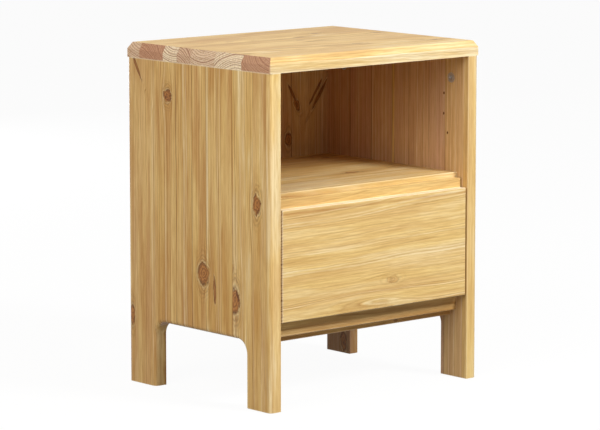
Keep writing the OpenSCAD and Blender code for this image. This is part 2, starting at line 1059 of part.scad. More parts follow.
module drawer_back_screws() {
    color(zinc)
        both_sides()
            at_box_back_screws()
                driven_screw(box_back_screw_l);
}

module drawer_bottom_screws() {
    color(zinc)
        at_box_bottom_screws()
            driven_screw(box_bottom_screw_l);
}

top_board();
left_side_panel();
right_side_panel();
shelf_board();
bottom_board();
stiffening_rail();
back_panel();
cam_locks();
cam_bolts();
cabinet_dowels();
back_panel_screws();
rail_screws();
left_cabinet_runner();
right_cabinet_runner();
cabinet_runner_screws();
front_roller_axles();
left_front_roller();
right_front_roller();
drawer_front();
drawer_left_side();
drawer_right_side();
drawer_back();
drawer_bottom();
drawer_cam_locks();
drawer_cam_bolts();
drawer_dowels();
drawer_back_screws();
drawer_bottom_screws();
left_drawer_runner();
right_drawer_runner();
drawer_runner_screws();
rear_roller_axles();
left_rear_roller();
right_rear_roller();
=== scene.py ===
# %% [markdown]
# # A pine nightstand with one drawer
#
# This lesson dresses a finished CAD model. The model already has every board, screw and roller at its
# true size, so nothing is modelled twice here. What is missing is the wood: its rings, knots, glued
# staves and end grain, and the light that makes them readable.
#
# Every place is taken from the model itself, in metres, so the lesson still works if a board changes.

# %% Load the model
import math

import bpy
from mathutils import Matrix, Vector


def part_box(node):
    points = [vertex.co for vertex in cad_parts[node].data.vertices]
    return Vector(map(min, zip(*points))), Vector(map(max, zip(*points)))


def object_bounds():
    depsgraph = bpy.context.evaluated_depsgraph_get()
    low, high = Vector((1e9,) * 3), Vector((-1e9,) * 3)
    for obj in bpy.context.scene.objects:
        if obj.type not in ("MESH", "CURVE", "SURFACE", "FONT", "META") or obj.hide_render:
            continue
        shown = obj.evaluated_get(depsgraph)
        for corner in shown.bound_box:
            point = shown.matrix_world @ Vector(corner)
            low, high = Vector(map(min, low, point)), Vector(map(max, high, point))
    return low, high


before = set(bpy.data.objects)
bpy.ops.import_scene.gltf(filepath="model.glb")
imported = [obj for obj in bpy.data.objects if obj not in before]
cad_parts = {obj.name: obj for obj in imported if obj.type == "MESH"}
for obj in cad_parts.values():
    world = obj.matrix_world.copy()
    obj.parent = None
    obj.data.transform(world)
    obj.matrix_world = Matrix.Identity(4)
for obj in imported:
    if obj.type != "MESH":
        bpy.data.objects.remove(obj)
MM_PER_M = 1000.0
cad_box = [list(corner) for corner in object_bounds()]
low, high = (Vector(corner) for corner in cad_box)
middle_height = (low.z + high.z) / 2
print("box in millimetres:", [[round(v * MM_PER_M) for v in corner] for corner in cad_box])

# %% [markdown]
# ## The camera
#
# Furniture is often pictured from far away with a long lens, because that keeps the boards' edges nearly
# parallel. The camera stands 4.8 metres off, to the left of the front and a little above it. It has no
# lens shift: it simply looks at a point near the middle of the nightstand.

# %% Camera
VIEW_SIDE = math.radians(-41.03)
VIEW_HEIGHT = math.radians(8.50)
VIEW_DISTANCE = 4.804
LENS_MM, SENSOR_MM = 196.85, 36.0
AIM_ASIDE, AIM_BELOW_MIDDLE = -0.0062, 0.0052
FARTHEST_SEEN = 60.0


def way_out(side, height):
    """The direction away from the nightstand. Side is turned from the front towards +X, in radians."""
    return Vector((math.sin(side) * math.cos(height), -math.cos(side) * math.cos(height), math.sin(height)))


looked_at = Vector((AIM_ASIDE, 0.0, middle_height - AIM_BELOW_MIDDLE))
towards_camera = way_out(VIEW_SIDE, VIEW_HEIGHT)
camera = bpy.data.objects.new("camera", bpy.data.cameras.new("camera"))
bpy.context.scene.collection.objects.link(camera)
camera.data.lens, camera.data.sensor_width = LENS_MM, SENSOR_MM
camera.data.clip_end = FARTHEST_SEEN
camera.location = looked_at + towards_camera * VIEW_DISTANCE
camera.rotation_mode = "QUATERNION"
camera.rotation_quaternion = (-towards_camera).to_track_quat("-Z", "Y")
bpy.context.scene.camera = camera
print("camera at", [round(v, 3) for v in camera.location])

# %% [markdown]
# ## Two helpers for shader trees
#
# A material is a tree of nodes. Placing and wiring nodes takes the same few lines each time, so they are
# put into one small helper that holds a tree. A second helper makes an empty node group with named
# sockets. A group is like a tool in a drawer: it is built once and used in many materials.

# %% Bench for nodes
NODES_PER_ROW, COLUMN_STEP, ROW_STEP = 12, 180, 260
MIX_SOCKETS = (0, 6, 7)  # the amount, the first colour and the second colour of a mix node


class Bench:
    """Places nodes on one tree and wires them."""

    def __init__(self, tree):
        self.tree = tree
        self.placed = 0

    def node(self, kind, inputs=None, **settings):
        """A new node with these settings, and with these values or wires on its inputs."""
        made = self.tree.nodes.new(kind)
        self.placed += 1
        row, column = divmod(self.placed, NODES_PER_ROW)
        made.location = (column * COLUMN_STEP, -row * ROW_STEP)
        for name, value in settings.items():
            setattr(made, name, value)
        for name, value in (inputs or {}).items():
            self.feed(made.inputs[name], value)
        return made

    def feed(self, socket, value):
        """Wires another node's output to a socket, or sets the socket to a plain value."""
        if isinstance(value, bpy.types.NodeSocket):
            self.tree.links.new(value, socket)
        else:
            socket.default_value = value

    def maths(self, operation, *values):
        return self.node("ShaderNodeMath", operation=operation, inputs=dict(enumerate(values))).outputs[0]

    def times(self, first, second):
        return self.maths("MULTIPLY", first, second)

    def plus(self, first, second):
        return self.maths("ADD", first, second)

    def minus(self, first, second):
        return self.maths("SUBTRACT", first, second)

    def swing(self, value, size):
        """Turns a value from 0 to 1 into one that swings this much in all, half of it to each side."""
        return self.times(self.minus(value, 0.5), size)

    def distance(self, first, second):
        """The length of a step that goes first one way and second at right angles to it."""
        return self.maths("SQRT", self.plus(self.times(first, first), self.times(second, second)))

    def blend(self, amount, first, second, how="MIX"):
        """The first colour at an amount of 0, and the second colour laid over it at 1."""
        return self.node("ShaderNodeMix", data_type="RGBA", blend_type=how, clamp_factor=True,
                         inputs=dict(zip(MIX_SOCKETS, (amount, first, second)))).outputs[2]

    def spread(self, value, start, end, lowest=0.0, highest=1.0):
        """A smooth step: lowest where the value is at start, and highest where it is at end."""
        return self.node("ShaderNodeMapRange", interpolation_type="SMOOTHSTEP", inputs=dict(enumerate(
            (value, start, end, lowest, highest)))).outputs[0]

    def point(self, x, y, z):
        return self.node("ShaderNodeCombineXYZ", inputs={0: x, 1: y, 2: z}).outputs[0]

    def noise(self, place, detail=2.0, roughness=0.5, scale=1.0):
        """Cloudy noise, about one blot wide for each unit of place."""
        return self.node("ShaderNodeTexNoise", inputs={
            "Vector": place, "Scale": scale, "Detail": detail, "Roughness": roughness}).outputs

    def use(self, group, **values):
        """A group's outputs for these inputs. The input Ring Width is written Ring_Width here."""
        made = self.node("ShaderNodeGroup", node_tree=group)
        for name, value in values.items():
            self.feed(made.inputs[name.replace("_", " ")], value)
        return made.outputs


print("a bench can make:", [name for name in dir(Bench) if not name.startswith("_")])

# %% Empty node groups with named sockets
SOCKETS = {float: "NodeSocketFloat", tuple: "NodeSocketVector", list: "NodeSocketColor"}


def new_group(name, inputs, outputs):
    """A group with these inputs {name: default} and outputs {name: an example of its kind}."""
    group = bpy.data.node_groups.new(name, "ShaderNodeTree")
    for label, default in inputs.items():
        made = group.interface.new_socket(label, in_out="INPUT", socket_type=SOCKETS[type(default)])
        made.default_value = default
    for label, example in outputs.items():
        group.interface.new_socket(label, in_out="OUTPUT", socket_type=SOCKETS[type(example)])
    bench = Bench(group)
    given = bench.node("NodeGroupInput").outputs
    result = bench.node("NodeGroupOutput").inputs
    return group, bench, given, result


print("kinds of socket:", list(SOCKETS.values()))

# %% [markdown]
# ## Growth rings
#
# A tree grows one ring a year round its pith. Each ring starts pale and soft, and ends in a thin dark
# band of latewood. A board is a flat slice through those rings, so its figure isn't painted on: it is
# the distance to the pith, read at each point of the solid wood. Straight lines, arches and end grain
# then all come from one rule, and they meet correctly at every edge.
#
# The pith wanders a little along the trunk, and it leans away from the board. The lean is what turns
# straight lines into the tall arches of a flat-sawn board.

# %% Node group: growth rings
# Scales are per millimetre. SEASONS says how dark the wood is at each share of a ring's width.
WANDER_PER_MM = 0.0045  # how soon the pith turns aside, along the trunk
WOBBLE_ALONG, WOBBLE_ACROSS = 0.011, 0.055
WOBBLE_SHARE = 0.6  # the rings' small waves, next to the pith's wander
UNEVEN_PER_MM, UNEVEN_RINGS = 0.09, 4.0  # wide and narrow years come in runs
SEASONS = ((0.0, 0.30), (0.08, 0.0), (0.35, 0.05), (0.68, 0.38), (0.88, 1.0), (1.0, 0.30))
FADE_ALONG, FADE_OUTWARD = 0.008, 0.25
FAINT_YEAR, DARK_YEAR, FEW_DARK = 0.20, 1.1, 2.2
RESHUFFLE = 7.31  # turns a year's random number into another one
GOOD_YEARS_PER_MM = 0.06

growth_rings, bench, given, result = new_group(
    "growth rings",
    {"Along": 0.0, "Across": 0.0, "Depth": 0.0, "Pith Across": 0.0, "Pith Depth": 60.0, "Lean": 0.03,
     "Ring Width": 3.0, "Wander": 4.0, "Contrast": 1.0, "Push": 0.0, "Tree": 0.0},
    {"Latewood": 0.0, "Pale Line": 0.0, "Good Years": 0.0, "Ring": 0.0},
)
slow = bench.times(given["Along"], WANDER_PER_MM)
wander = bench.noise(bench.point(slow, given["Tree"], given["Pith Across"]), detail=1.0)["Color"]
wander_aside, wander_deep, _ = bench.node("ShaderNodeSeparateColor", inputs={0: wander}).outputs
side = bench.minus(bench.minus(given["Across"], given["Pith Across"]), given["Push"])
side = bench.plus(side, bench.swing(wander_aside, given["Wander"]))
deep = bench.minus(given["Depth"], given["Pith Depth"])
deep = bench.plus(deep, bench.swing(wander_deep, given["Wander"]))
deep = bench.plus(deep, bench.times(given["Along"], given["Lean"]))
from_pith = bench.distance(side, deep)

wobble_place = bench.point(
    bench.times(given["Along"], WOBBLE_ALONG), bench.times(given["Across"], WOBBLE_ACROSS),
    bench.plus(bench.times(given["Depth"], WOBBLE_ACROSS), given["Tree"]))
wobble = bench.minus(bench.noise(wobble_place, detail=3.0)["Fac"], 0.5)
reached = bench.plus(from_pith, bench.times(wobble, bench.times(given["Wander"], WOBBLE_SHARE)))
uneven = bench.noise(
    bench.point(bench.times(reached, UNEVEN_PER_MM), given["Tree"], given["Pith Depth"]), detail=2.0)["Fac"]
rings = bench.plus(bench.maths("DIVIDE", reached, given["Ring Width"]), bench.times(uneven, UNEVEN_RINGS))
in_ring = bench.maths("FRACT", rings)
year = bench.node("ShaderNodeTexWhiteNoise", noise_dimensions="2D", inputs={
    "Vector": bench.point(bench.maths("FLOOR", rings), given["Tree"], 0.0)}).outputs["Value"]

season = bench.node("ShaderNodeValToRGB", inputs={0: in_ring})
for share, _ in SEASONS[1:-1]:
    season.color_ramp.elements.new(share)
for stop, (share, dark) in zip(season.color_ramp.elements, SEASONS):
    stop.position, stop.color = share, (dark, dark, dark, 1.0)
bench.feed(result["Ring"], season.outputs["Color"])

fade_place = bench.point(
    bench.times(given["Along"], FADE_ALONG), bench.times(reached, FADE_OUTWARD), given["Tree"])
faded = bench.spread(bench.noise(fade_place, detail=2.0)["Fac"], 0.30, 0.65, 0.35, 1.0)
strength = bench.plus(FAINT_YEAR, bench.times(bench.maths("POWER", year, FEW_DARK), DARK_YEAR))
strength = bench.times(bench.times(strength, faded), given["Contrast"])
bench.feed(result["Latewood"], bench.maths("MINIMUM", bench.times(season.outputs["Color"], strength), 1.0))

other_year = bench.maths("FRACT", bench.times(year, RESHUFFLE))
in_early = bench.times(bench.spread(in_ring, 0.05, 0.18), bench.spread(in_ring, 0.60, 0.40))
pale_line = bench.times(in_early, bench.spread(other_year, 0.70, 0.86))
bench.feed(result["Pale Line"], bench.times(pale_line, faded))

run_place = bench.point(bench.times(reached, GOOD_YEARS_PER_MM), given["Tree"], slow)
runs = bench.spread(bench.noise(run_place, detail=3.0, roughness=0.6)["Fac"], 0.30, 0.70, -0.5, 0.5)
bench.feed(result["Good Years"], bench.plus(0.5, bench.times(runs, given["Contrast"])))
print("growth rings:", len(growth_rings.nodes), "nodes")

# %% [markdown]
# ## Knots
#
# A knot is the foot of a branch. It does two things. It shows as a dark disc with its own small rings
# and a darker rim, and it pushes the trunk's rings aside, so that they flow round it. The second effect
# is what makes a knot look grown in and not stuck on.
#
# Each knot group adds itself to what the knots before it made, so a board with five knots is a chain of
# five groups, each with its own place and size in millimetres.

# %% Node group: knot
RAGGED_PER_RADIUS = 0.9
RAGGED_CORE, RAGGED_RIPPLES = 1.3, 0.9  # how uneven the outlines are, in radii
FLOW_STRETCH, RIPPLE_STRETCH = 2.0, 1.45  # how much longer than the knot its surroundings reach
FLOW_FADES, PUSH_SHARE = 0.35, 0.9
PIN_KNOT_MM, GROWN_PER_MM = 1.6, 0.45  # a smaller knot is a plain dark pin
CRESCENT_AT, CRESCENT_FADES = 0.98, 40.0
PALE_RING_AT, PALE_RING_FADES = 1.22, 100.0
RIPPLES_AT, RIPPLES_FADE, RIPPLE_SHARE = 0.9, 2.2, 0.42
CORE_RINGS_PER_MM, RIPPLES_PER_MM = 0.85, 0.95
FAR_OFF = 1000.0  # millimetres, beyond every board's edge
NO_MARKS = {"Push": 0.0, "Core": 0.0, "Rim": 0.0, "Pale": 0.0, "Glow": 0.0}

knot, bench, given, result = new_group(
    "knot",
    {"Along": 0.0, "Across": 0.0, **NO_MARKS, "Knot Along": 0.0, "Knot Across": 0.0, "Radius": 8.0,
     "Stretch": 1.3, "Slant": 0.0, "Strength": 1.0, "From": -FAR_OFF, "To": FAR_OFF},
    NO_MARKS,
)
in_stave = bench.times(bench.maths("GREATER_THAN", given["Across"], given["From"]),
                       bench.maths("LESS_THAN", given["Across"], given["To"]))
strength = bench.times(given["Strength"], in_stave)
up = bench.minus(given["Along"], given["Knot Along"])
over = bench.minus(given["Across"], given["Knot Across"])
over = bench.minus(over, bench.times(up, given["Slant"]))
tall = bench.maths("DIVIDE", bench.maths("DIVIDE", up, given["Stretch"]), given["Radius"])
wide = bench.maths("DIVIDE", over, given["Radius"])
ragged_place = bench.point(bench.times(tall, RAGGED_PER_RADIUS), bench.times(wide, RAGGED_PER_RADIUS),
                           given["Knot Along"])
ragged = bench.noise(ragged_place, detail=3.0, roughness=0.62)
patches = bench.node("ShaderNodeSeparateColor", inputs={0: ragged["Color"]}).outputs


def fading(distance, speed):
    """One at the middle, falling to nothing outside."""
    squared = bench.times(distance, distance)
    return bench.maths("POWER", math.e, bench.times(squared, -speed))


def waves(distance, per_mm, sharpness):
    """Thin rings: one on each ring, nothing between them."""
    wave = bench.maths("SINE", bench.times(distance, per_mm))
    return bench.maths("POWER", bench.maths("ABSOLUTE", wave), sharpness)


def deeper(label, mask):
    """Adds this knot's own mask to what the knots before it made."""
    bench.feed(result[label], bench.maths("MAXIMUM", given[label], bench.times(mask, strength)))


# Distances from the knot's middle are counted in its own radii.
reach = bench.plus(bench.distance(tall, wide), bench.swing(ragged["Fac"], RAGGED_CORE))
flow = bench.distance(bench.maths("DIVIDE", tall, FLOW_STRETCH), wide)
parting = bench.times(fading(flow, FLOW_FADES), bench.times(over, PUSH_SHARE))
bench.feed(result["Push"], bench.plus(given["Push"], bench.times(parting, in_stave)))
core = bench.spread(reach, 1.02, 0.84)
grown = bench.times(bench.minus(given["Radius"], PIN_KNOT_MM), GROWN_PER_MM)
grown = bench.maths("MINIMUM", bench.maths("MAXIMUM", grown, 0.0), 1.0)
deeper("Core", core)
crescent = bench.times(fading(bench.minus(reach, CRESCENT_AT), CRESCENT_FADES),
                       bench.spread(patches[1], 0.44, 0.56, 0.35, 1.0))
small_rings = waves(bench.times(reach, given["Radius"]), CORE_RINGS_PER_MM, 3.0)
inside = bench.maths("MAXIMUM", bench.times(small_rings, 0.75), bench.spread(patches[2], 0.50, 0.60))
long_reach = bench.plus(bench.distance(bench.maths("DIVIDE", tall, RIPPLE_STRETCH), wide),
                        bench.swing(ragged["Fac"], RAGGED_RIPPLES))
ripples = waves(bench.times(long_reach, given["Radius"]), RIPPLES_PER_MM, 2.5)
around = bench.times(fading(bench.minus(long_reach, RIPPLES_AT), RIPPLES_FADE), bench.minus(1.0, core))
ripples = bench.times(ripples, bench.times(around, bench.times(grown, RIPPLE_SHARE)))
pin = bench.times(core, bench.minus(1.0, grown))
dark = bench.maths("MAXIMUM", crescent, bench.times(inside, core))
deeper("Rim", bench.maths("MAXIMUM", bench.maths("MAXIMUM", dark, pin), ripples))
pale_ring = bench.times(fading(bench.minus(reach, PALE_RING_AT), PALE_RING_FADES),
                        bench.spread(patches[0], 0.38, 0.58, 0.35, 1.0))
deeper("Pale", bench.times(pale_ring, grown))
glow = bench.times(fading(flow, FLOW_FADES), bench.spread(patches[0], 0.60, 0.40))
deeper("Glow", bench.times(glow, grown))
print("knot:", len(knot.nodes), "nodes")

# %% [markdown]
# ## Fibres
#
# Between the rings, wood is made of fibres that run the length of the board. They give fine streaks, slow
# patches of lighter and darker wood, and short dark dashes where a resin canal was cut open. They are all
# one noise pattern pulled out along the grain, at four sizes.

# %% Node group: fibres
# For each pattern: how fast it changes along the grain and across it, per millimetre, and its detail.
COARSE_FIBRES, FINE_FIBRES = (0.005, 0.34, 3.0), (0.035, 1.10, 3.0)
CLOUDS, CANALS = (0.0035, 0.055, 2.0), (0.055, 0.85, 2.0)

fibres, bench, given, result = new_group(
    "fibres", {"Along": 0.0, "Across": 0.0, "Depth": 0.0, "Contrast": 1.0, "Tree": 0.0},
    {"Fibre": 0.0, "Cloud": 0.0, "Canal": 0.0},
)


def pulled_noise(along_scale, across_scale, detail):
    """Noise that is much longer along the grain than across it."""
    return bench.noise(bench.point(
        bench.times(given["Along"], along_scale),
        bench.plus(bench.times(given["Across"], across_scale), given["Tree"]),
        bench.times(given["Depth"], across_scale)), detail=detail)["Fac"]


both = bench.times(bench.plus(pulled_noise(*COARSE_FIBRES), pulled_noise(*FINE_FIBRES)), 0.5)
fibre = bench.spread(both, 0.34, 0.66, -0.5, 0.5)
bench.feed(result["Fibre"], bench.plus(0.5, bench.times(fibre, given["Contrast"])))
bench.feed(result["Cloud"], bench.spread(pulled_noise(*CLOUDS), 0.28, 0.72))
bench.feed(result["Canal"], bench.spread(pulled_noise(*CANALS), 0.62, 0.74))
print("fibres:", len(fibres.nodes), "nodes")

# %% [markdown]
# ## Glued staves
#
# A wide pine board is glued up from narrow staves, each cut from a different tree. So the pith, the ring
# width and the tone all jump at a glue line. Each stave group says where its stave starts. It passes on
# the numbers of the stave before it up to there, and its own numbers from there on. It also draws the
# hairline of glue, which is darker because the lacquer sinks into it.

# %% Node group: stave
GLUE_WIDTH_MM, GLUE_CORE_MM = 1.5, 0.1
SOAKED_PER_MM = 0.009
PLAIN_STAVE = {"Pith Across": 0.0, "Pith Depth": 60.0, "Ring Width": 3.0, "Tone": 0.5, "Heart": 0.3}
NO_STAVE = {"Before Pith Across": 0.0, "Before Pith Depth": 0.0, "Before Ring Width": 3.0,
            "Before Tone": 0.5, "Before Heart": 0.3, "Before Glue": 0.0}

stave, bench, given, result = new_group(
    "stave",
    {"Along": 0.0, "Across": 0.0, "Starts At": 0.0, **PLAIN_STAVE, "Glue Dark": 0.5, **NO_STAVE},
    {**PLAIN_STAVE, "Glue": 0.0},
)
begun = bench.maths("GREATER_THAN", given["Across"], given["Starts At"])
for label in PLAIN_STAVE:
    before = given["Before " + label]
    jump = bench.minus(given[label], before)
    bench.feed(result[label], bench.plus(before, bench.times(begun, jump)))
off_line = bench.maths("ABSOLUTE", bench.minus(given["Across"], given["Starts At"]))
soaked = bench.noise(bench.point(bench.times(given["Along"], SOAKED_PER_MM), given["Starts At"], 0.0),
                     detail=2.0)["Fac"]
hairline = bench.times(bench.spread(off_line, GLUE_WIDTH_MM, GLUE_CORE_MM), given["Glue Dark"])
hairline = bench.times(hairline, bench.spread(soaked, 0.35, 0.60, 0.25, 1.0))
bench.feed(result["Glue"], bench.maths("MAXIMUM", hairline, given["Before Glue"]))
print("stave:", len(stave.nodes), "nodes")

# %% [markdown]
# ## The colours of lacquered pine
#
# Earlywood is cream, latewood is orange-brown, a knot is red-brown with a nearly black rim, and end grain
# is darker and pinker, because its open pores drink the lacquer. One group mixes all of them, so every
# board is the same timber. It also gives the gloss and the relief: latewood is harder than earlywood, so
# sanding leaves it standing a few hundredths of a millimetre proud.

# %% Node group: pine surface
SAPWOOD = (0.960, 0.890, 0.660, 1.0)
PALE_WOOD = (0.865, 0.692, 0.375, 1.0)
EARLYWOOD = (0.805, 0.572, 0.222, 1.0)
DEEP_WOOD = (0.560, 0.305, 0.085, 1.0)
PINK_WOOD = (0.620, 0.375, 0.290, 1.0)
LATEWOOD = (0.360, 0.155, 0.032, 1.0)
KNOT_CORE = (0.460, 0.180, 0.040, 1.0)
KNOT_RIM = (0.110, 0.035, 0.012, 1.0)
GLUE_BROWN = (0.200, 0.080, 0.024, 1.0)
END_PALE = (1.000, 0.870, 0.620, 1.0)
END_LINES = (0.320, 0.130, 0.075, 1.0)
END_PINK = (0.560, 0.300, 0.175, 1.0)
# What is laid over the wood, in this order: the mask, how much of it shows, and its colour.
# The Edge mask is a painted highlight: a pale line along every board edge, where a rounded arris catches
# the light.
MARKS = (("Glow", 0.60, DEEP_WOOD), ("Canal", 0.25, LATEWOOD), ("Pale", 0.60, PALE_WOOD),
         ("Core", 0.90, KNOT_CORE), ("Rim", 0.92, KNOT_RIM), ("Glue", 0.80, GLUE_BROWN),
         ("Edge", 0.35, SAPWOOD))
# How far each mask stands proud or lies low, in millimetres.
RELIEF = (("Fibre", "ADD", 0.012), ("Canal", "SUBTRACT", 0.02), ("Rim", "SUBTRACT", 0.03),
          ("Glue", "SUBTRACT", 0.03))
LATEWOOD_RELIEF = 0.030
GREEN_FADES, BLUE_FADES = 1.5, 2.3
YEARS_DARKEN, YEARS_LIGHTEN = -0.40, 0.34
PINK_FROM, PINK_SHARE, CLOUD_SHARE = 0.9, 0.42, 0.12
PALE_LINE_SHARE, LATEWOOD_SHARE = 0.30, 0.82
END_RING_SHARE, END_LATEWOOD_SHARE = 0.55, 0.80
FIBRE_STAIN, FIBRE_GLOSS = (0.85, 1.08), (0.44, 0.54)
CORE_GLOSS, END_GLOSS = 0.10, 0.12

pine_surface, bench, given, result = new_group(
    "pine surface",
    {"Latewood": 0.0, "Pale Line": 0.0, "Good Years": 0.5, "Ring": 0.0, "Fibre": 0.5, "Cloud": 0.5,
     "Canal": 0.0, "Core": 0.0, "Rim": 0.0, "Pale": 0.0, "Glow": 0.0, "End Grain": 0.0, "Tone": 0.5,
     "Heart": 0.3, "Glue": 0.0, "Edge": 0.0},
    {"Color": [0.0, 0.0, 0.0, 1.0], "Roughness": 0.0, "Height": 0.0},
)


def stained(color, factor):
    """A colour made darker by a factor. Wood reddens as it darkens, so blue fades fastest."""
    green, blue = (bench.maths("POWER", factor, power) for power in (GREEN_FADES, BLUE_FADES))
    tint = bench.node("ShaderNodeCombineColor", inputs={0: factor, 1: green, 2: blue}).outputs[0]
    return bench.blend(1.0, color, tint, "MULTIPLY")


tone = bench.plus(given["Tone"], bench.spread(given["Good Years"], 0.0, 1.0, YEARS_DARKEN, YEARS_LIGHTEN))
long_wood = bench.blend(bench.minus(1.0, tone), EARLYWOOD, DEEP_WOOD)
long_wood = bench.blend(bench.times(bench.minus(tone, 1.0), 2.0), long_wood, PALE_WOOD)
long_wood = bench.blend(bench.minus(tone, 1.5), long_wood, SAPWOOD)
# Pink comes from pinkness above PINK_FROM and from clouds. On most boards it is the wood's own heartwood.
# Where pinkness is very high, on the inner faces of the right and back panels, it is painted shade.
pink = bench.times(bench.maths("MAXIMUM", bench.minus(given["Heart"], PINK_FROM), 0.0), PINK_SHARE)
pink = bench.plus(pink, bench.times(given["Cloud"], CLOUD_SHARE))
long_wood = bench.blend(pink, long_wood, PINK_WOOD)
long_wood = bench.blend(bench.times(given["Pale Line"], PALE_LINE_SHARE), long_wood, SAPWOOD)
long_wood = bench.blend(bench.times(given["Latewood"], LATEWOOD_SHARE), long_wood, LATEWOOD)
end_wood = bench.blend(given["Heart"], END_PALE, END_PINK)
end_lines = bench.plus(bench.times(given["Ring"], END_RING_SHARE),
                       bench.times(given["Latewood"], END_LATEWOOD_SHARE))
end_wood = bench.blend(end_lines, end_wood, END_LINES)
wood = bench.blend(given["End Grain"], long_wood, end_wood)
wood = stained(wood, bench.spread(given["Fibre"], 0.0, 1.0, *FIBRE_STAIN))
for label, share, color in MARKS:
    wood = bench.blend(bench.times(given[label], share), wood, color)
bench.feed(result["Color"], wood)
gloss = bench.spread(given["Fibre"], 0.0, 1.0, *FIBRE_GLOSS)
gloss = bench.minus(gloss, bench.times(given["Core"], CORE_GLOSS))
bench.feed(result["Roughness"], bench.plus(gloss, bench.times(given["End Grain"], END_GLOSS)))
relief = bench.times(given["Latewood"], LATEWOOD_RELIEF)
for label, operation, height in RELIEF:
    relief = bench.maths(operation, relief, bench.times(given[label], height))
bench.feed(result["Height"], relief)
print("pine surface:", len(pine_surface.nodes), "nodes")

# %% [markdown]
# ## End grain
#
# Where a cut goes across the fibres, the wood's face points along the grain. The group compares the two
# directions, and gives one where they line up.

# %% Node group: end grain
end_grain, bench, given, result = new_group(
    "end grain", {"Facing": (0.0, 0.0, 1.0), "Grain": (0.0, 0.0, 1.0)}, {"End Grain": 0.0})
lined_up = bench.node("ShaderNodeVectorMath", operation="DOT_PRODUCT",
                      inputs={0: given["Facing"], 1: given["Grain"]}).outputs["Value"]
bench.feed(result["End Grain"], bench.spread(bench.maths("ABSOLUTE", lined_up), 0.62, 0.80))
print("end grain:", len(end_grain.nodes), "nodes")

# %% [markdown]
# ## Painted edge highlights
#
# Every edge of a board is sanded a little round, and along it the group paints a pale line: a painted
# highlight where the rounded arris catches the light. A point near an edge is near two faces at once. So
# the group takes the distance to the nearest face along each axis, and the middle one of the three is the
# distance to the edge.

# %% Node group: painted edge highlight
painted_edge_highlight, bench, given, result = new_group(
    "painted edge highlight",
    {"Place": (0.0, 0.0, 0.0), "Low": (0.0, 0.0, 0.0), "High": (1.0, 1.0, 1.0), "Width": 1.2},
    {"Edge": 0.0})
from_low, from_high = (
    bench.node("ShaderNodeVectorMath", operation="SUBTRACT",
               inputs={0: given[end], 1: given[start]}).outputs[0]
    for start, end in (("Low", "Place"), ("Place", "High")))
nearest = bench.node("ShaderNodeVectorMath", operation="MINIMUM",
                     inputs={0: from_low, 1: from_high}).outputs[0]
first, second, third = bench.node("ShaderNodeSeparateXYZ", inputs={0: nearest}).outputs
middle = bench.maths("MAXIMUM", bench.maths("MINIMUM", first, second),
                     bench.maths("MINIMUM", bench.maths("MAXIMUM", first, second), third))
bench.feed(result["Edge"], bench.spread(middle, given["Width"], 0.3))
print("painted edge highlight:", len(painted_edge_highlight.nodes), "nodes")

# %% [markdown]
# ## One material for each board
#
# All boards share the groups above, but no two share a tree. The helper below builds a board's material
# from plain facts: which way the grain runs, where its glue lines are, and where its knots are. Distances
# are in millimetres from the nightstand's origin, along the board's own grain and across it. It can also
# paint shade on a board's lower face: pinker and darker there, and paler towards the other face, for a
# face that lies in the shade inside the nightstand. A renderer can follow only so many knots in one
# material, so a board with too many stops the lesson with a message.

# %% Board material
AXES = {"X": 0, "Y": 1, "Z": 2}
MOST_KNOTS = 8
FIBRE_CONTRAST = 1.3
LACQUER = {"Specular IOR Level": 0.20, "Coat Weight": 0.03, "Coat Roughness": 0.35}
METRES_PER_MM = 0.001


def paint(node_name, material):
    """Gives a CAD node this material, in every slot that it has."""
    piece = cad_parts[node_name]
    if not piece.material_slots:
        piece.data.materials.append(material)
    for slot in piece.material_slots:
        slot.material = material


def new_material(name):
    """A new material, a bench for its tree, and its shader."""
    material = bpy.data.materials.new(name)
    material.use_nodes = True
    shader = next(n for n in material.node_tree.nodes if n.type == "BSDF_PRINCIPLED")
    return material, Bench(material.node_tree), shader


def place_in_mm(bench):
    """The piece's own coordinates, and its point in millimetres from the nightstand's origin."""
    place = bench.node("ShaderNodeTexCoord").outputs
    return place, bench.node("ShaderNodeVectorMath", operation="SCALE", inputs={
        0: place["Object"], "Scale": MM_PER_M}).outputs[0]


def three_ways(bench):
    """The same, with the point split into its X, Y and Z."""
    place, point = place_in_mm(bench)
    return place, bench.node("ShaderNodeSeparateXYZ", inputs={0: point}).outputs


def wire_up(bench, shader, color, roughness, height):
    """Wires colour and roughness into a shader, and a height in millimetres as a bump."""
    bench.feed(shader.inputs["Base Color"], color)
    bench.feed(shader.inputs["Roughness"], roughness)
    bump = bench.node("ShaderNodeBump", inputs={"Height": height, "Distance": METRES_PER_MM})
    bench.feed(shader.inputs["Normal"], bump.outputs["Normal"])


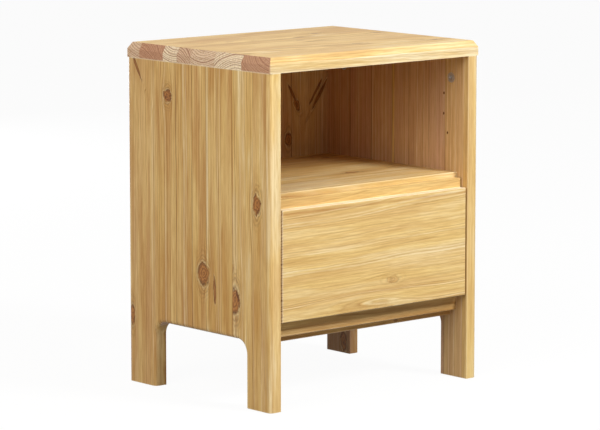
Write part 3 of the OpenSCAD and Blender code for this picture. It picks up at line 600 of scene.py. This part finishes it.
def pine_board(node_name, ways, staves, knots=(), lean=0.03, wander=4.0, contrast=1.0, inner_face_shade=0.0):
    """Paints a board in pine, with its grain, width and thickness along ways, such as "ZYX".

    staves: (where it starts, pith across, pith depth, ring width, tone, pinkness, darkness of its glue
    line), ordered across the board. The pith depth is counted from the board's lower face.
    knots: (along, across, radius, stretch, slant, strength), and the edges of its stave, across the
    board, for a knot that a glue line cuts through.
    inner_face_shade: painted shade, for a board whose lower face lies in the shade inside the nightstand.
    The pinkness fades out towards the upper face, and the upper face is this much lighter.
    """
    assert len(knots) <= MOST_KNOTS, node_name + " has more knots than one material can hold"
    material, bench, shader = new_material("pine " + node_name.replace("_", " "))
    place, parts = three_ways(bench)
    along, across, depth = (parts[AXES[way]] for way in ways)
    lowest, highest = ([v * MM_PER_M for v in corner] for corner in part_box(node_name))
    thin = AXES[ways[2]]
    depth = bench.minus(depth, lowest[thin])

    _, *facts, _ = staves[0]
    here = dict(zip(PLAIN_STAVE, facts), Glue=0.0)
    for start, *facts, glue_dark in staves[1:]:
        before = {"Before " + label: value for label, value in here.items()}
        made = bench.use(stave, Along=along, Across=across, Starts_At=start,
                         **dict(zip(PLAIN_STAVE, facts)), Glue_Dark=glue_dark, **before)
        here = {label: made[label] for label in here}
    tree = here["Pith Across"]

    # Painted shade: the lower face, inside the nightstand, keeps its pinkness and its darker tone, and the
    # upper face is made lighter.
    if inner_face_shade:
        outward = bench.maths("DIVIDE", depth, highest[thin] - lowest[thin])
        here["Heart"] = bench.times(here["Heart"], bench.minus(1.0, outward))
        here["Tone"] = bench.plus(here["Tone"], bench.times(outward, inner_face_shade))

    marks = dict(NO_MARKS)
    for knot_along, knot_across, radius, stretch, slant, strength, *limits in knots:
        first, last = limits or (-FAR_OFF, FAR_OFF)
        made = bench.use(
            knot, Along=along, Across=across, Knot_Along=knot_along, Knot_Across=knot_across, Radius=radius,
            Stretch=stretch, Slant=slant, Strength=strength, From=first, To=last, **marks)
        marks = {label: made[label] for label in marks}

    rings = bench.use(
        growth_rings, Along=along, Across=across, Depth=depth, Pith_Across=here["Pith Across"],
        Pith_Depth=here["Pith Depth"], Lean=lean, Ring_Width=here["Ring Width"], Wander=wander,
        Contrast=contrast, Push=marks.pop("Push"), Tree=tree)
    threads = bench.use(fibres, Along=along, Across=across, Depth=depth, Tree=tree,
                        Contrast=min(1.0, contrast * FIBRE_CONTRAST))
    grain = tuple(1.0 if AXES[ways[0]] == i else 0.0 for i in range(3))
    ends = bench.use(end_grain, Facing=place["Normal"], Grain=grain)["End Grain"]
    # Painted highlight: a pale line along the board's edges.
    edge = bench.use(painted_edge_highlight, Place=bench.point(*parts), Low=lowest, High=highest)["Edge"]
    surface = bench.use(
        pine_surface, **{label: rings[label] for label in ("Latewood", "Pale Line", "Good Years", "Ring")},
        **{label: threads[label] for label in ("Fibre", "Cloud", "Canal")},
        End_Grain=ends, Tone=here["Tone"], Heart=here["Heart"], Glue=here["Glue"], Edge=edge, **marks)
    for label, value in LACQUER.items():
        shader.inputs[label].default_value = value
    wire_up(bench, shader, surface["Color"], surface["Roughness"], surface["Height"])
    paint(node_name, material)
    print(node_name, "painted with", len(staves), "staves and", len(knots), "knots")


print("a board can have up to", MOST_KNOTS, "knots")

# %% [markdown]
# ## The side panels
#
# Their grain stands upright, so that the legs are strong. Where a leg meets the floor, and under the
# arch, the cut goes across the fibres and shows end grain. The knots run through the thickness of the
# panel, so one knot shows on both of its faces.

# %% Left side panel
# staves: starts at, pith across, pith depth, ring width, tone, pinkness, glue line
# knots: along, across, radius, stretch, slant, strength, and its stave's two edges
LEFT_STAVES = [
    (-160, -300, 60, 9.0, 1.10, 0.1, 0), (-151, -300, 60, 3.4, 0.54, 0.2, 0),
    (-122, -260, 70, 3.0, 1.04, 0.4, 0.4), (-78, -330, 60, 3.4, 0.50, 0.3, 0.3),
    (-24, -330, 60, 1.9, 1.30, 0.0, 0.3), (-20, 220, 70, 3.2, 0.60, 0.1, 0.7),
    (12, -260, 80, 3.6, 0.50, 0.2, 1.0), (48, 360, 50, 4.2, 0.55, 0.5, 1.0),
    (99, 420, 60, 4.0, 0.60, 1.1, 0.4),
]
LEFT_KNOTS = [
    (429, 67, 8.5, 1.0, 0.0, 1.0), (292, -131, 8.0, 1.7, 0.0, 1.0),
    (180, -13, 12.0, 1.3, 0.0, 0.90), (160, -38, 3.0, 6.0, 0.05, 0.85),
    (152, -83, 10.5, 1.7, 0.0, 0.95, -122, -78), (196, -76, 4.0, 2.2, 0.0, 0.60, -122, -78),
    (467, 138, 2.8, 6.5, 0.60, 0.90), (99, 151, 5.5, 2.6, 0.0, 0.90),
]
pine_board("left_side_panel", "ZYX", LEFT_STAVES, LEFT_KNOTS, lean=0.02, contrast=1.15)

# %% Right side panel
# Painted shade: the staves grow darker towards the back and their pinkness is very high, for the shaded
# inside of the open space. The last argument keeps that pink on the inner face and lightens the outer face.
RIGHT_STAVES = [
    (-160, 240, 70, 3.4, 0.92, 0.1, 0), (-150, 240, 70, 3.4, 0.75, 1.5, 0),
    (-111, -330, 40, 3.2, 0.66, 2.2, 0.6), (-76, 160, 90, 3.6, 0.56, 2.0, 0.5),
    (-32, -270, 30, 3.0, 0.52, 2.0, 0.6), (-1, 90, 60, 2.0, 1.0, 0.3, 0.7),
    (4, 250, 55, 3.4, 0.46, 2.0, 0.9), (50, -160, 70, 2.8, 0.24, 2.2, 0.9),
    (98, 330, 40, 3.2, 0.04, 2.0, 1.0),
]
RIGHT_KNOTS = [
    (420, -108, 1.4, 1.5, 0.0, 1.0), (390, -108, 1.4, 1.5, 0.0, 1.0),
    (362, -116, 1.5, 1.4, 0.0, 1.0), (20, 112, 6.5, 2.6, 0.1, 0.85),
    (205, 30, 9.0, 1.4, 0.0, 0.8), (250, -70, 6.0, 1.5, 0.0, 0.8),
    (150, 90, 5.0, 1.6, 0.0, 0.7),
]
pine_board("right_side_panel", "ZYX", RIGHT_STAVES, RIGHT_KNOTS, lean=0.02, contrast=0.6, inner_face_shade=0.30)

# %% [markdown]
# ## The lying boards
#
# The top, the shelf, the bottom board and the rail run from side to side, and so does their grain. At the
# left and right ends of the top, the staves show as blocks of end grain with the rings as arcs.

# %% Top board
# The first stave is only 0.4 mm wide, so it covers just the top's front face and paints it much paler: a
# painted highlight on that face.
TOP_STAVES = [
    (-160, -170, 75, 3.0, 1.62, 0.90, 0), (-159.6, -170, 75, 3.0, 0.95, 0.90, 0),
    (-98, -90, -60, 3.2, 0.74, 0.10, 0.2), (-38, -10, 60, 3.0, 0.70, 0.45, 0.2),
    (15, 60, -45, 2.8, 0.66, 0.60, 0.2), (45, 50, 65, 3.0, 0.70, 0.10, 0.2),
    (77, 140, -50, 2.8, 0.68, 0.95, 0.2), (131, 120, 70, 2.6, 0.74, 0.5, 0.2),
]
TOP_KNOTS = [
    (93, 78, 4.5, 2.4, 0.0, 0.55), (174, 28, 5.0, 2.0, 0.0, 0.60),
    (163, -108, 5.0, 2.2, 0.0, 0.60), (36, -78, 4.0, 2.6, 0.0, 0.45),
    (3, 11, 3.0, 3.0, 0.0, 0.40), (-90, 60, 3.0, 2.6, 0.0, 0.35),
]
pine_board("top_board", "XYZ", TOP_STAVES, TOP_KNOTS)

# %% Shelf, bottom board and rail
# Painted shade: the staves step from light at the front to darker and pinker at the back, where the top
# board's shadow and the corner's shade fall on the shelf.
SHELF_STAVES = [
    (-137, -290, 60, 3.2, 1.30, 0.0, 0), (-82, 140, 70, 3.6, 1.12, 0.0, 0.4),
    (-21, -220, 40, 3.0, 0.86, 0.2, 0.4), (37, 250, 60, 3.4, 0.62, 0.6, 0.4),
    (92, 130, 80, 3.2, 0.62, 0.5, 0.4),
]
SHELF_KNOTS = [
    (60, -40, 6.0, 1.8, 0.0, 0.6), (-120, 60, 5.0, 1.8, 0.0, 0.6), (140, 110, 4.0, 2.0, 0.0, 0.6),
]
pine_board("shelf_board", "XYZ", SHELF_STAVES, SHELF_KNOTS)
BOTTOM_STAVES = [
    (-137, -220, 50, 3.0, 0.70, 0.1, 0), (-70, 20, 75, 3.4, 0.54, 0.6, 0.4),
    (-8, -130, 40, 3.2, 0.60, 0.5, 0.4), (61, 170, 55, 3.6, 0.50, 0.6, 0.4),
    (118, 60, 70, 3.0, 0.58, 0.5, 0.4),
]
BOTTOM_KNOTS = [(-60, 40, 6.0, 1.8, 0.0, 0.7), (90, -60, 5.0, 1.8, 0.0, 0.7)]
pine_board("bottom_board", "XYZ", BOTTOM_STAVES, BOTTOM_KNOTS)
# Painted shade: the rail's single stave has a very dark tone, for its place in the shade under the bottom
# board's front.
pine_board("stiffening_rail", "XZY", [(80, 230, 40, 2.8, 0.12, 0.0, 0)], [(70, 96, 2.0, 2.0, 0.0, 0.6)])

# %% [markdown]
# ## The back panel
#
# The back is thin and upright. Where two of its staves meet, a knot was cut in half, so its dark
# feathers spread from the glue line like a V.

# %% Back panel
# Painted shade: all staves are dark and very pink, for the shaded inside of the open space. The last
# argument keeps that pink on the inner face and lightens the outer face at the back.
BACK_STAVES = [
    (-200, -220, 40, 3.4, 0.46, 1.3, 0), (-142, -160, 60, 3.0, 0.40, 1.5, 0.6),
    (-81, -280, 30, 3.6, 0.48, 1.3, 0.6), (-20, 160, 55, 3.2, 0.42, 1.5, 0.6),
    (46, -140, 40, 3.4, 0.40, 1.6, 0.6), (107, 290, 35, 3.2, 0.56, 1.3, 1.0),
    (165, -90, 60, 3.0, 0.46, 1.5, 0.5),
]
BACK_KNOTS = [
    (385, 118, 5.5, 1.6, -0.4, 0.9), (403, 109, 2.8, 5.0, -0.60, 0.9),
    (398, 164, 3.8, 5.5, 0.67, 0.95), (402, 156, 2.6, 7.0, 0.67, 0.9),
    (333, 101, 6.5, 1.6, 0.0, 0.90), (440, -40, 5.0, 1.8, 0.0, 0.8),
    (180, -60, 8.0, 1.4, 0.0, 0.8),
]
pine_board("back_panel", "ZXY", BACK_STAVES, BACK_KNOTS, lean=0.015, contrast=0.7, inner_face_shade=0.25)

# %% [markdown]
# ## The drawer
#
# The front is one wide board cut near the outside of the tree, so the rings open into wavy arches along
# it. The box behind it is plain, straight-grained pine.

# %% Drawer front
# The thin stave from 284.3 to 285.7 mm is a painted highlight: a pale band along the lit ledge of the step.
# The stave from 277.5 to 280.5 mm is a darker band just under it.
FRONT_STAVES = [
    (120, 330, 60, 3.4, 1.00, 0.0, 0), (277.5, 330, 60, 3.4, 0.40, 0.2, 0),
    (280.5, 330, 60, 3.4, 1.00, 0.0, 0), (284.3, 330, 60, 3.4, 2.30, 0.0, 0),
    (285.7, 330, 60, 3.4, 0.88, 0.0, 0),
]
FRONT_KNOTS = [
    (33, 166, 6.0, 2.0, 0.0, 0.30), (-42, 128, 13.0, 2.4, 0.0, 0.10),
    (6, 130, 9.0, 2.0, 0.0, 0.12),
]
pine_board("drawer_front", "XZY", FRONT_STAVES, FRONT_KNOTS, lean=-0.055, wander=8.0, contrast=0.60)

# %% Drawer box
BOX_BOARDS = (
    ("drawer_left_side", "YZX", (141, 90, 40, 2.8, 0.62, 0.3, 0), (10, 190, 3.5, 2.0, 0.0, 0.7)),
    ("drawer_right_side", "YZX", (141, 320, 40, 3.0, 0.58, 0.3, 0), (-60, 220, 3.0, 2.0, 0.0, 0.7)),
    ("drawer_back", "XZY", (141, 110, 45, 2.9, 0.60, 0.3, 0), (80, 210, 3.5, 2.0, 0.0, 0.7)),
)
for board, ways, only_stave, only_knot in BOX_BOARDS:
    pine_board(board, ways, [only_stave], [only_knot])

# %% [markdown]
# ## Plywood and dowels
#
# The drawer's bottom is birch plywood. Its face is a peeled sheet, with faint long waves, and its edge
# shows the crossed plies as light and dark stripes. The dowels are beech, which is pinker than pine, with
# short dark flecks in place of strong rings.

# %% Birch plywood
PLIES = 3
FACE_PALE, FACE_RING = (0.74, 0.57, 0.35, 1.0), (0.56, 0.36, 0.18, 1.0)
FACE_THREAD = (0.52, 0.34, 0.17, 1.0)
PLY_PALE, PLY_DARK = (0.66, 0.48, 0.28, 1.0), (0.38, 0.24, 0.12, 1.0)
PLY_CLOUD = (0.45, 0.29, 0.15, 1.0)
BIRCH_TREE = 7.0

plywood, bench, shader = new_material("birch plywood")
place, parts = three_ways(bench)
peeled = bench.use(
    growth_rings, Along=parts[0], Across=parts[1], Depth=parts[2], Pith_Across=30.0, Pith_Depth=60.0,
    Lean=0.05, Ring_Width=11.0, Wander=26.0, Contrast=1.4, Push=0.0, Tree=BIRCH_TREE)
threads = bench.use(fibres, Along=parts[0], Across=parts[1], Depth=parts[2], Tree=BIRCH_TREE)
sheet_low, sheet_high = (corner[2] * MM_PER_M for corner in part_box("drawer_bottom"))
ply_mm = (sheet_high - sheet_low) / PLIES
ply = bench.maths("DIVIDE", bench.minus(parts[2], sheet_low), ply_mm)
middle_ply = bench.maths("COMPARE", ply, PLIES / 2, 0.5)
face_color = bench.blend(bench.times(peeled["Latewood"], 0.60), FACE_PALE, FACE_RING)
face_color = bench.blend(bench.times(threads["Fibre"], 0.30), face_color, FACE_THREAD)
edge_color = bench.blend(middle_ply, PLY_PALE, PLY_DARK)
edge_color = bench.blend(bench.times(threads["Cloud"], 0.3), edge_color, PLY_CLOUD)
up_facing = bench.use(end_grain, Facing=place["Normal"], Grain=(0.0, 0.0, 1.0))["End Grain"]
wire_up(bench, shader, bench.blend(up_facing, edge_color, face_color),
        bench.spread(threads["Fibre"], 0.0, 1.0, 0.50, 0.62), bench.times(threads["Fibre"], 0.02))
paint("drawer_bottom", plywood)
print("ply thickness:", round(ply_mm, 2), "mm")

# %% Beech dowels
TOP_JOINT_MM = 440.0
BEECH_TREE = 3.0
BEECH_PALE, BEECH_DARK = (0.62, 0.40, 0.24, 1.0), (0.52, 0.31, 0.17, 1.0)
BEECH_FLECK = (0.30, 0.15, 0.07, 1.0)
FLECKS_ALONG, FLECKS_ACROSS = 0.4, 2.2


def beech_material(name, along_way, upright_above=None):
    """Beech with its flecks along one axis, and upright above a height where that is given."""
    material, bench, shader = new_material(name)
    _, parts = three_ways(bench)
    along, across, depth = (parts[(AXES[along_way] + turn) % 3] for turn in range(3))
    if upright_above is not None:
        upright = bench.maths("GREATER_THAN", parts[2], upright_above)
        swap = bench.times(upright, bench.minus(parts[2], along))
        along, depth = bench.plus(along, swap), bench.minus(depth, swap)
    threads = bench.use(fibres, Along=along, Across=across, Depth=depth, Tree=BEECH_TREE)
    flecks = bench.noise(bench.point(
        bench.times(along, FLECKS_ALONG), bench.times(across, FLECKS_ACROSS),
        bench.times(depth, FLECKS_ACROSS)), detail=1.0)["Fac"]
    color = bench.blend(threads["Fibre"], BEECH_PALE, BEECH_DARK)
    wire_up(bench, shader, bench.blend(bench.spread(flecks, 0.62, 0.72), color, BEECH_FLECK),
            bench.spread(threads["Cloud"], 0.0, 1.0, 0.55, 0.68), bench.times(threads["Fibre"], 0.03))
    return material


paint("cabinet_dowels", beech_material("beech cabinet dowels", "X", TOP_JOINT_MM))
paint("drawer_dowels", beech_material("beech drawer dowels", "Y"))
print("cabinet dowels stand upright above", TOP_JOINT_MM, "mm")

# %% [markdown]
# ## Metal fittings
#
# The cam locks are die-cast zinc: dull, faintly pitted, and rubbed brighter on their high edges. The
# screws and bolts are zinc-plated steel, brighter and slightly blue. Both share one group, which gives
# pits, a cloudy bloom and fine scratches.

# %% Node group: plated metal
BLOOM_PER_MM, SPECKS_PER_MM = 0.35, 3.0
SCRATCH_SCALE = (0.4, 6.0, 6.0)
PIT_DEPTH_MM, SCRATCH_DEPTH_MM = -0.03, 0.004

plated_metal, bench, given, result = new_group(
    "plated metal",
    {"Place": (0.0, 0.0, 0.0), "Bright": [0.8, 0.8, 0.8, 1.0], "Dull": [0.5, 0.5, 0.5, 1.0], "Pits": 0.3,
     "Smooth": 0.25},
    {"Color": [0.0, 0.0, 0.0, 1.0], "Roughness": 0.0, "Height": 0.0},
)
bloom = bench.spread(bench.noise(given["Place"], detail=3.0, scale=BLOOM_PER_MM)["Fac"], 0.3, 0.7)
speck = bench.spread(bench.noise(given["Place"], detail=2.0, scale=SPECKS_PER_MM)["Fac"], 0.58, 0.72)
scratch_place = bench.node("ShaderNodeVectorMath", operation="MULTIPLY",
                           inputs={0: given["Place"], 1: SCRATCH_SCALE}).outputs[0]
scratch = bench.spread(bench.noise(scratch_place, detail=1.0)["Fac"], 0.60, 0.66)
color = bench.blend(bloom, given["Bright"], given["Dull"])
color = bench.blend(bench.times(speck, given["Pits"]), color, given["Dull"], "MULTIPLY")
bench.feed(result["Color"], color)
rough = bench.plus(given["Smooth"], bench.times(bloom, 0.12))
bench.feed(result["Roughness"], bench.plus(rough, bench.times(scratch, 0.10)))
sunk = bench.times(bench.times(speck, given["Pits"]), PIT_DEPTH_MM)
bench.feed(result["Height"], bench.minus(sunk, bench.times(scratch, SCRATCH_DEPTH_MM)))
print("plated metal:", len(plated_metal.nodes), "nodes")

# %% Zinc fittings and screws
ZINC_BRIGHT, ZINC_DULL = (0.80, 0.80, 0.80, 1.0), (0.62, 0.62, 0.63, 1.0)
PLATE_BRIGHT, PLATE_DULL = (0.72, 0.73, 0.75, 1.0), (0.52, 0.53, 0.56, 1.0)


def metal_material(name, bright, dull, pits, smooth):
    """A metal with a bright and a dull colour, its share of pits, and its roughness where it is smooth."""
    material, bench, shader = new_material(name)
    _, point = place_in_mm(bench)
    metal = bench.use(plated_metal, Place=point, Bright=bright, Dull=dull, Pits=pits, Smooth=smooth)
    shader.inputs["Metallic"].default_value = 1.0
    wire_up(bench, shader, metal["Color"], metal["Roughness"], metal["Height"])
    return material


cast_zinc = metal_material("die-cast zinc", ZINC_BRIGHT, ZINC_DULL, 0.5, 0.46)
zinc_plate = metal_material("zinc plate", PLATE_BRIGHT, PLATE_DULL, 0.2, 0.26)
LOCKS = ("cam_locks", "drawer_cam_locks")
STEEL_FITTINGS = (
    "cam_bolts", "drawer_cam_bolts", "back_panel_screws", "rail_screws", "cabinet_runner_screws",
    "drawer_back_screws", "drawer_bottom_screws", "drawer_runner_screws", "front_roller_axles",
    "rear_roller_axles")
for names, metal in ((LOCKS, cast_zinc), (STEEL_FITTINGS, zinc_plate)):
    for name in names:
        paint(name, metal)
    print(metal.name, "on", sum(len(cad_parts[name].data.polygons) for name in names), "faces")

# %% [markdown]
# ## Coated runners and nylon rollers
#
# The runners are pressed steel with a baked cream-white coat. Up close such a coat has the skin of an
# orange, and it rubs grey where the rollers travel. The rollers are milky nylon, a little translucent,
# so light spreads inside them.

# %% Coated steel
COAT_WHITE, COAT_DUST = (0.78, 0.77, 0.73, 1.0), (0.66, 0.64, 0.59, 1.0)
COAT_RUBBED = (0.42, 0.42, 0.41, 1.0)
PEEL_PER_MM, DUST_PER_MM = 0.9, 0.08
RUBS_ALONG, RUBS_ACROSS = 0.02, 1.5
PEEL_HEIGHT_MM = 0.02

coated_steel, bench, shader = new_material("coated steel")
_, parts = three_ways(bench)
spot = bench.point(*parts)
peel = bench.noise(spot, detail=1.0, scale=PEEL_PER_MM)["Fac"]
dust = bench.spread(bench.noise(spot, detail=3.0, scale=DUST_PER_MM)["Fac"], 0.35, 0.75)
rub_place = bench.point(bench.times(parts[0], RUBS_ACROSS), bench.times(parts[1], RUBS_ALONG),
                        bench.times(parts[2], RUBS_ACROSS))
rubbed = bench.spread(bench.noise(rub_place, detail=3.0)["Fac"], 0.58, 0.74)
coat_color = bench.blend(bench.times(dust, 0.5), COAT_WHITE, COAT_DUST)
coat_color = bench.blend(bench.times(rubbed, 0.35), coat_color, COAT_RUBBED)
coat_gloss = bench.plus(bench.spread(dust, 0.0, 1.0, 0.30, 0.42), bench.times(rubbed, 0.12))
wire_up(bench, shader, coat_color, coat_gloss, bench.times(peel, PEEL_HEIGHT_MM))
for side in ("left", "right"):
    paint(side + "_cabinet_runner", coated_steel)
    paint(side + "_drawer_runner", coated_steel)
print("coated steel on two pairs of runners")

# %% Nylon
NYLON_MILKY, NYLON_DENSE = (0.80, 0.79, 0.74, 1.0), (0.72, 0.71, 0.67, 1.0)
NYLON_TRACK = (0.45, 0.44, 0.42, 1.0)
MILK_PER_MM, TRACKS_PER_MM = 0.25, 1.6
TRACK_DEPTH_MM = 0.01

nylon, bench, shader = new_material("nylon")
_, parts = three_ways(bench)
spot = bench.point(*parts)
milky = bench.spread(bench.noise(spot, detail=2.0, scale=MILK_PER_MM)["Fac"], 0.3, 0.7)
tracked = bench.spread(bench.noise(spot, detail=4.0, scale=TRACKS_PER_MM)["Fac"], 0.55, 0.75)
roller_color = bench.blend(milky, NYLON_MILKY, NYLON_DENSE)
roller_color = bench.blend(bench.times(tracked, 0.30), roller_color, NYLON_TRACK)
shader.inputs["Subsurface Weight"].default_value = 0.15
shader.inputs["Subsurface Radius"].default_value = (0.003, 0.003, 0.0025)
wire_up(bench, shader, roller_color, bench.spread(tracked, 0.0, 1.0, 0.38, 0.55),
        bench.times(tracked, TRACK_DEPTH_MM))
for side in ("left", "right"):
    paint(side + "_front_roller", nylon)
    paint(side + "_rear_roller", nylon)
print("nylon on four rollers")

# %% [markdown]
# ## Floor, backdrop and light
#
# The floor is a wide pale sheet. To the camera it is white, with a faint trace of the object's shadow.
# A ray that only carries light meets a plain grey floor instead, which sends some light up under the
# boards. The world does the same: white where it is looked at or mirrored, and a soft grey where it only
# gives light.

# %% Floor
FLOOR_HALF = 12.0
WHITE = (1.0, 1.0, 1.0, 1.0)
FLOOR_PALE, FLOOR_SHADE = (0.27, 0.27, 0.27, 1.0), (0.23, 0.23, 0.23, 1.0)
WHITE_SHARE = 0.95


def looked_at_or_mirrored(bench, rays):
    """One for rays from the camera and for mirrored ones, nothing for rays that only give light."""
    return bench.maths("MAXIMUM", rays["Is Camera Ray"],
                       bench.maths("MAXIMUM", rays["Is Glossy Ray"], rays["Is Transmission Ray"]))


floor_mesh = bpy.data.meshes.new("floor")
corner_signs = ((-1, -1), (1, -1), (1, 1), (-1, 1))
floor_mesh.from_pydata(
    [(x * FLOOR_HALF, y * FLOOR_HALF, low.z) for x, y in corner_signs], [], [(0, 1, 2, 3)])
floor = bpy.data.objects.new("floor", floor_mesh)
bpy.context.scene.collection.objects.link(floor)

floor_material = bpy.data.materials.new("pale floor")
floor_material.use_nodes = True
bench = Bench(floor_material.node_tree)
bench.tree.nodes.clear()
rays = bench.node("ShaderNodeLightPath").outputs
paint_film = bench.node("ShaderNodeTexNoise", inputs={"Scale": 3.0, "Detail": 2.0}).outputs["Fac"]
pale = bench.blend(bench.times(paint_film, 0.3), FLOOR_PALE, FLOOR_SHADE)
pale = bench.blend(rays["Is Camera Ray"], pale, WHITE)
matt = bench.node("ShaderNodeBsdfDiffuse", inputs={"Color": pale}).outputs[0]
white = bench.node("ShaderNodeEmission", inputs={"Color": WHITE, "Strength": 1.0}).outputs[0]
share = bench.times(looked_at_or_mirrored(bench, rays), WHITE_SHARE)
mixed = bench.node("ShaderNodeMixShader", inputs={0: share, 1: matt, 2: white}).outputs[0]
bench.node("ShaderNodeOutputMaterial", inputs={"Surface": mixed})
floor_mesh.materials.append(floor_material)
print("floor:", 2 * FLOOR_HALF, "m wide, at height", low.z)

# %% World
AMBIENT = 0.23
world = bpy.data.worlds.new("studio")
bpy.context.scene.world = world
world.use_nodes = True
bench = Bench(world.node_tree)
bench.tree.nodes.clear()
rays = bench.node("ShaderNodeLightPath").outputs
seen = looked_at_or_mirrored(bench, rays)
ambient, backdrop = (
    bench.node("ShaderNodeBackground", inputs={"Color": WHITE, "Strength": strength}).outputs[0]
    for strength in (AMBIENT, 1.0))
mixed = bench.node("ShaderNodeMixShader", inputs={0: seen, 1: ambient, 2: backdrop}).outputs[0]
bench.node("ShaderNodeOutputWorld", inputs={"Surface": mixed})
bpy.context.scene.view_settings.view_transform = "Standard"
print("light from all sides:", AMBIENT, "of white")

# %% [markdown]
# ## The lamps
#
# One large soft lamp stands high on the right of the front. It rakes across the shelf and lets the
# drawer's lower edge throw a narrow soft shadow on the board below. A weaker one on the left keeps the
# side panel readable, and a low one behind does the same for the back.


# %% Lamps
LAMP_DISTANCE = 3.2


def lamp(name, side_degrees, height_degrees, size, watts, tint=(1.0, 1.0, 1.0)):
    """A square lamp aimed at the nightstand's middle. Side is turned from the front towards +X."""
    data = bpy.data.lights.new(name, "AREA")
    data.shape, data.size, data.energy, data.color = "SQUARE", size, watts, tint
    made = bpy.data.objects.new(name, data)
    bpy.context.scene.collection.objects.link(made)
    away = way_out(math.radians(side_degrees), math.radians(height_degrees))
    made.location = Vector((0.0, 0.0, middle_height)) + away * LAMP_DISTANCE
    made.rotation_mode = "QUATERNION"
    made.rotation_quaternion = away.to_track_quat("Z", "Y")
    print(name, "at", [round(v, 2) for v in made.location])


lamp("key lamp", 18.0, 36.0, 0.75, 82.0)
lamp("fill lamp", -70.0, 30.0, 2.2, 66.0, tint=(1.0, 0.94, 0.88))
lamp("rear lamp", 170.0, 6.0, 1.0, 42.0)

# %% [markdown]
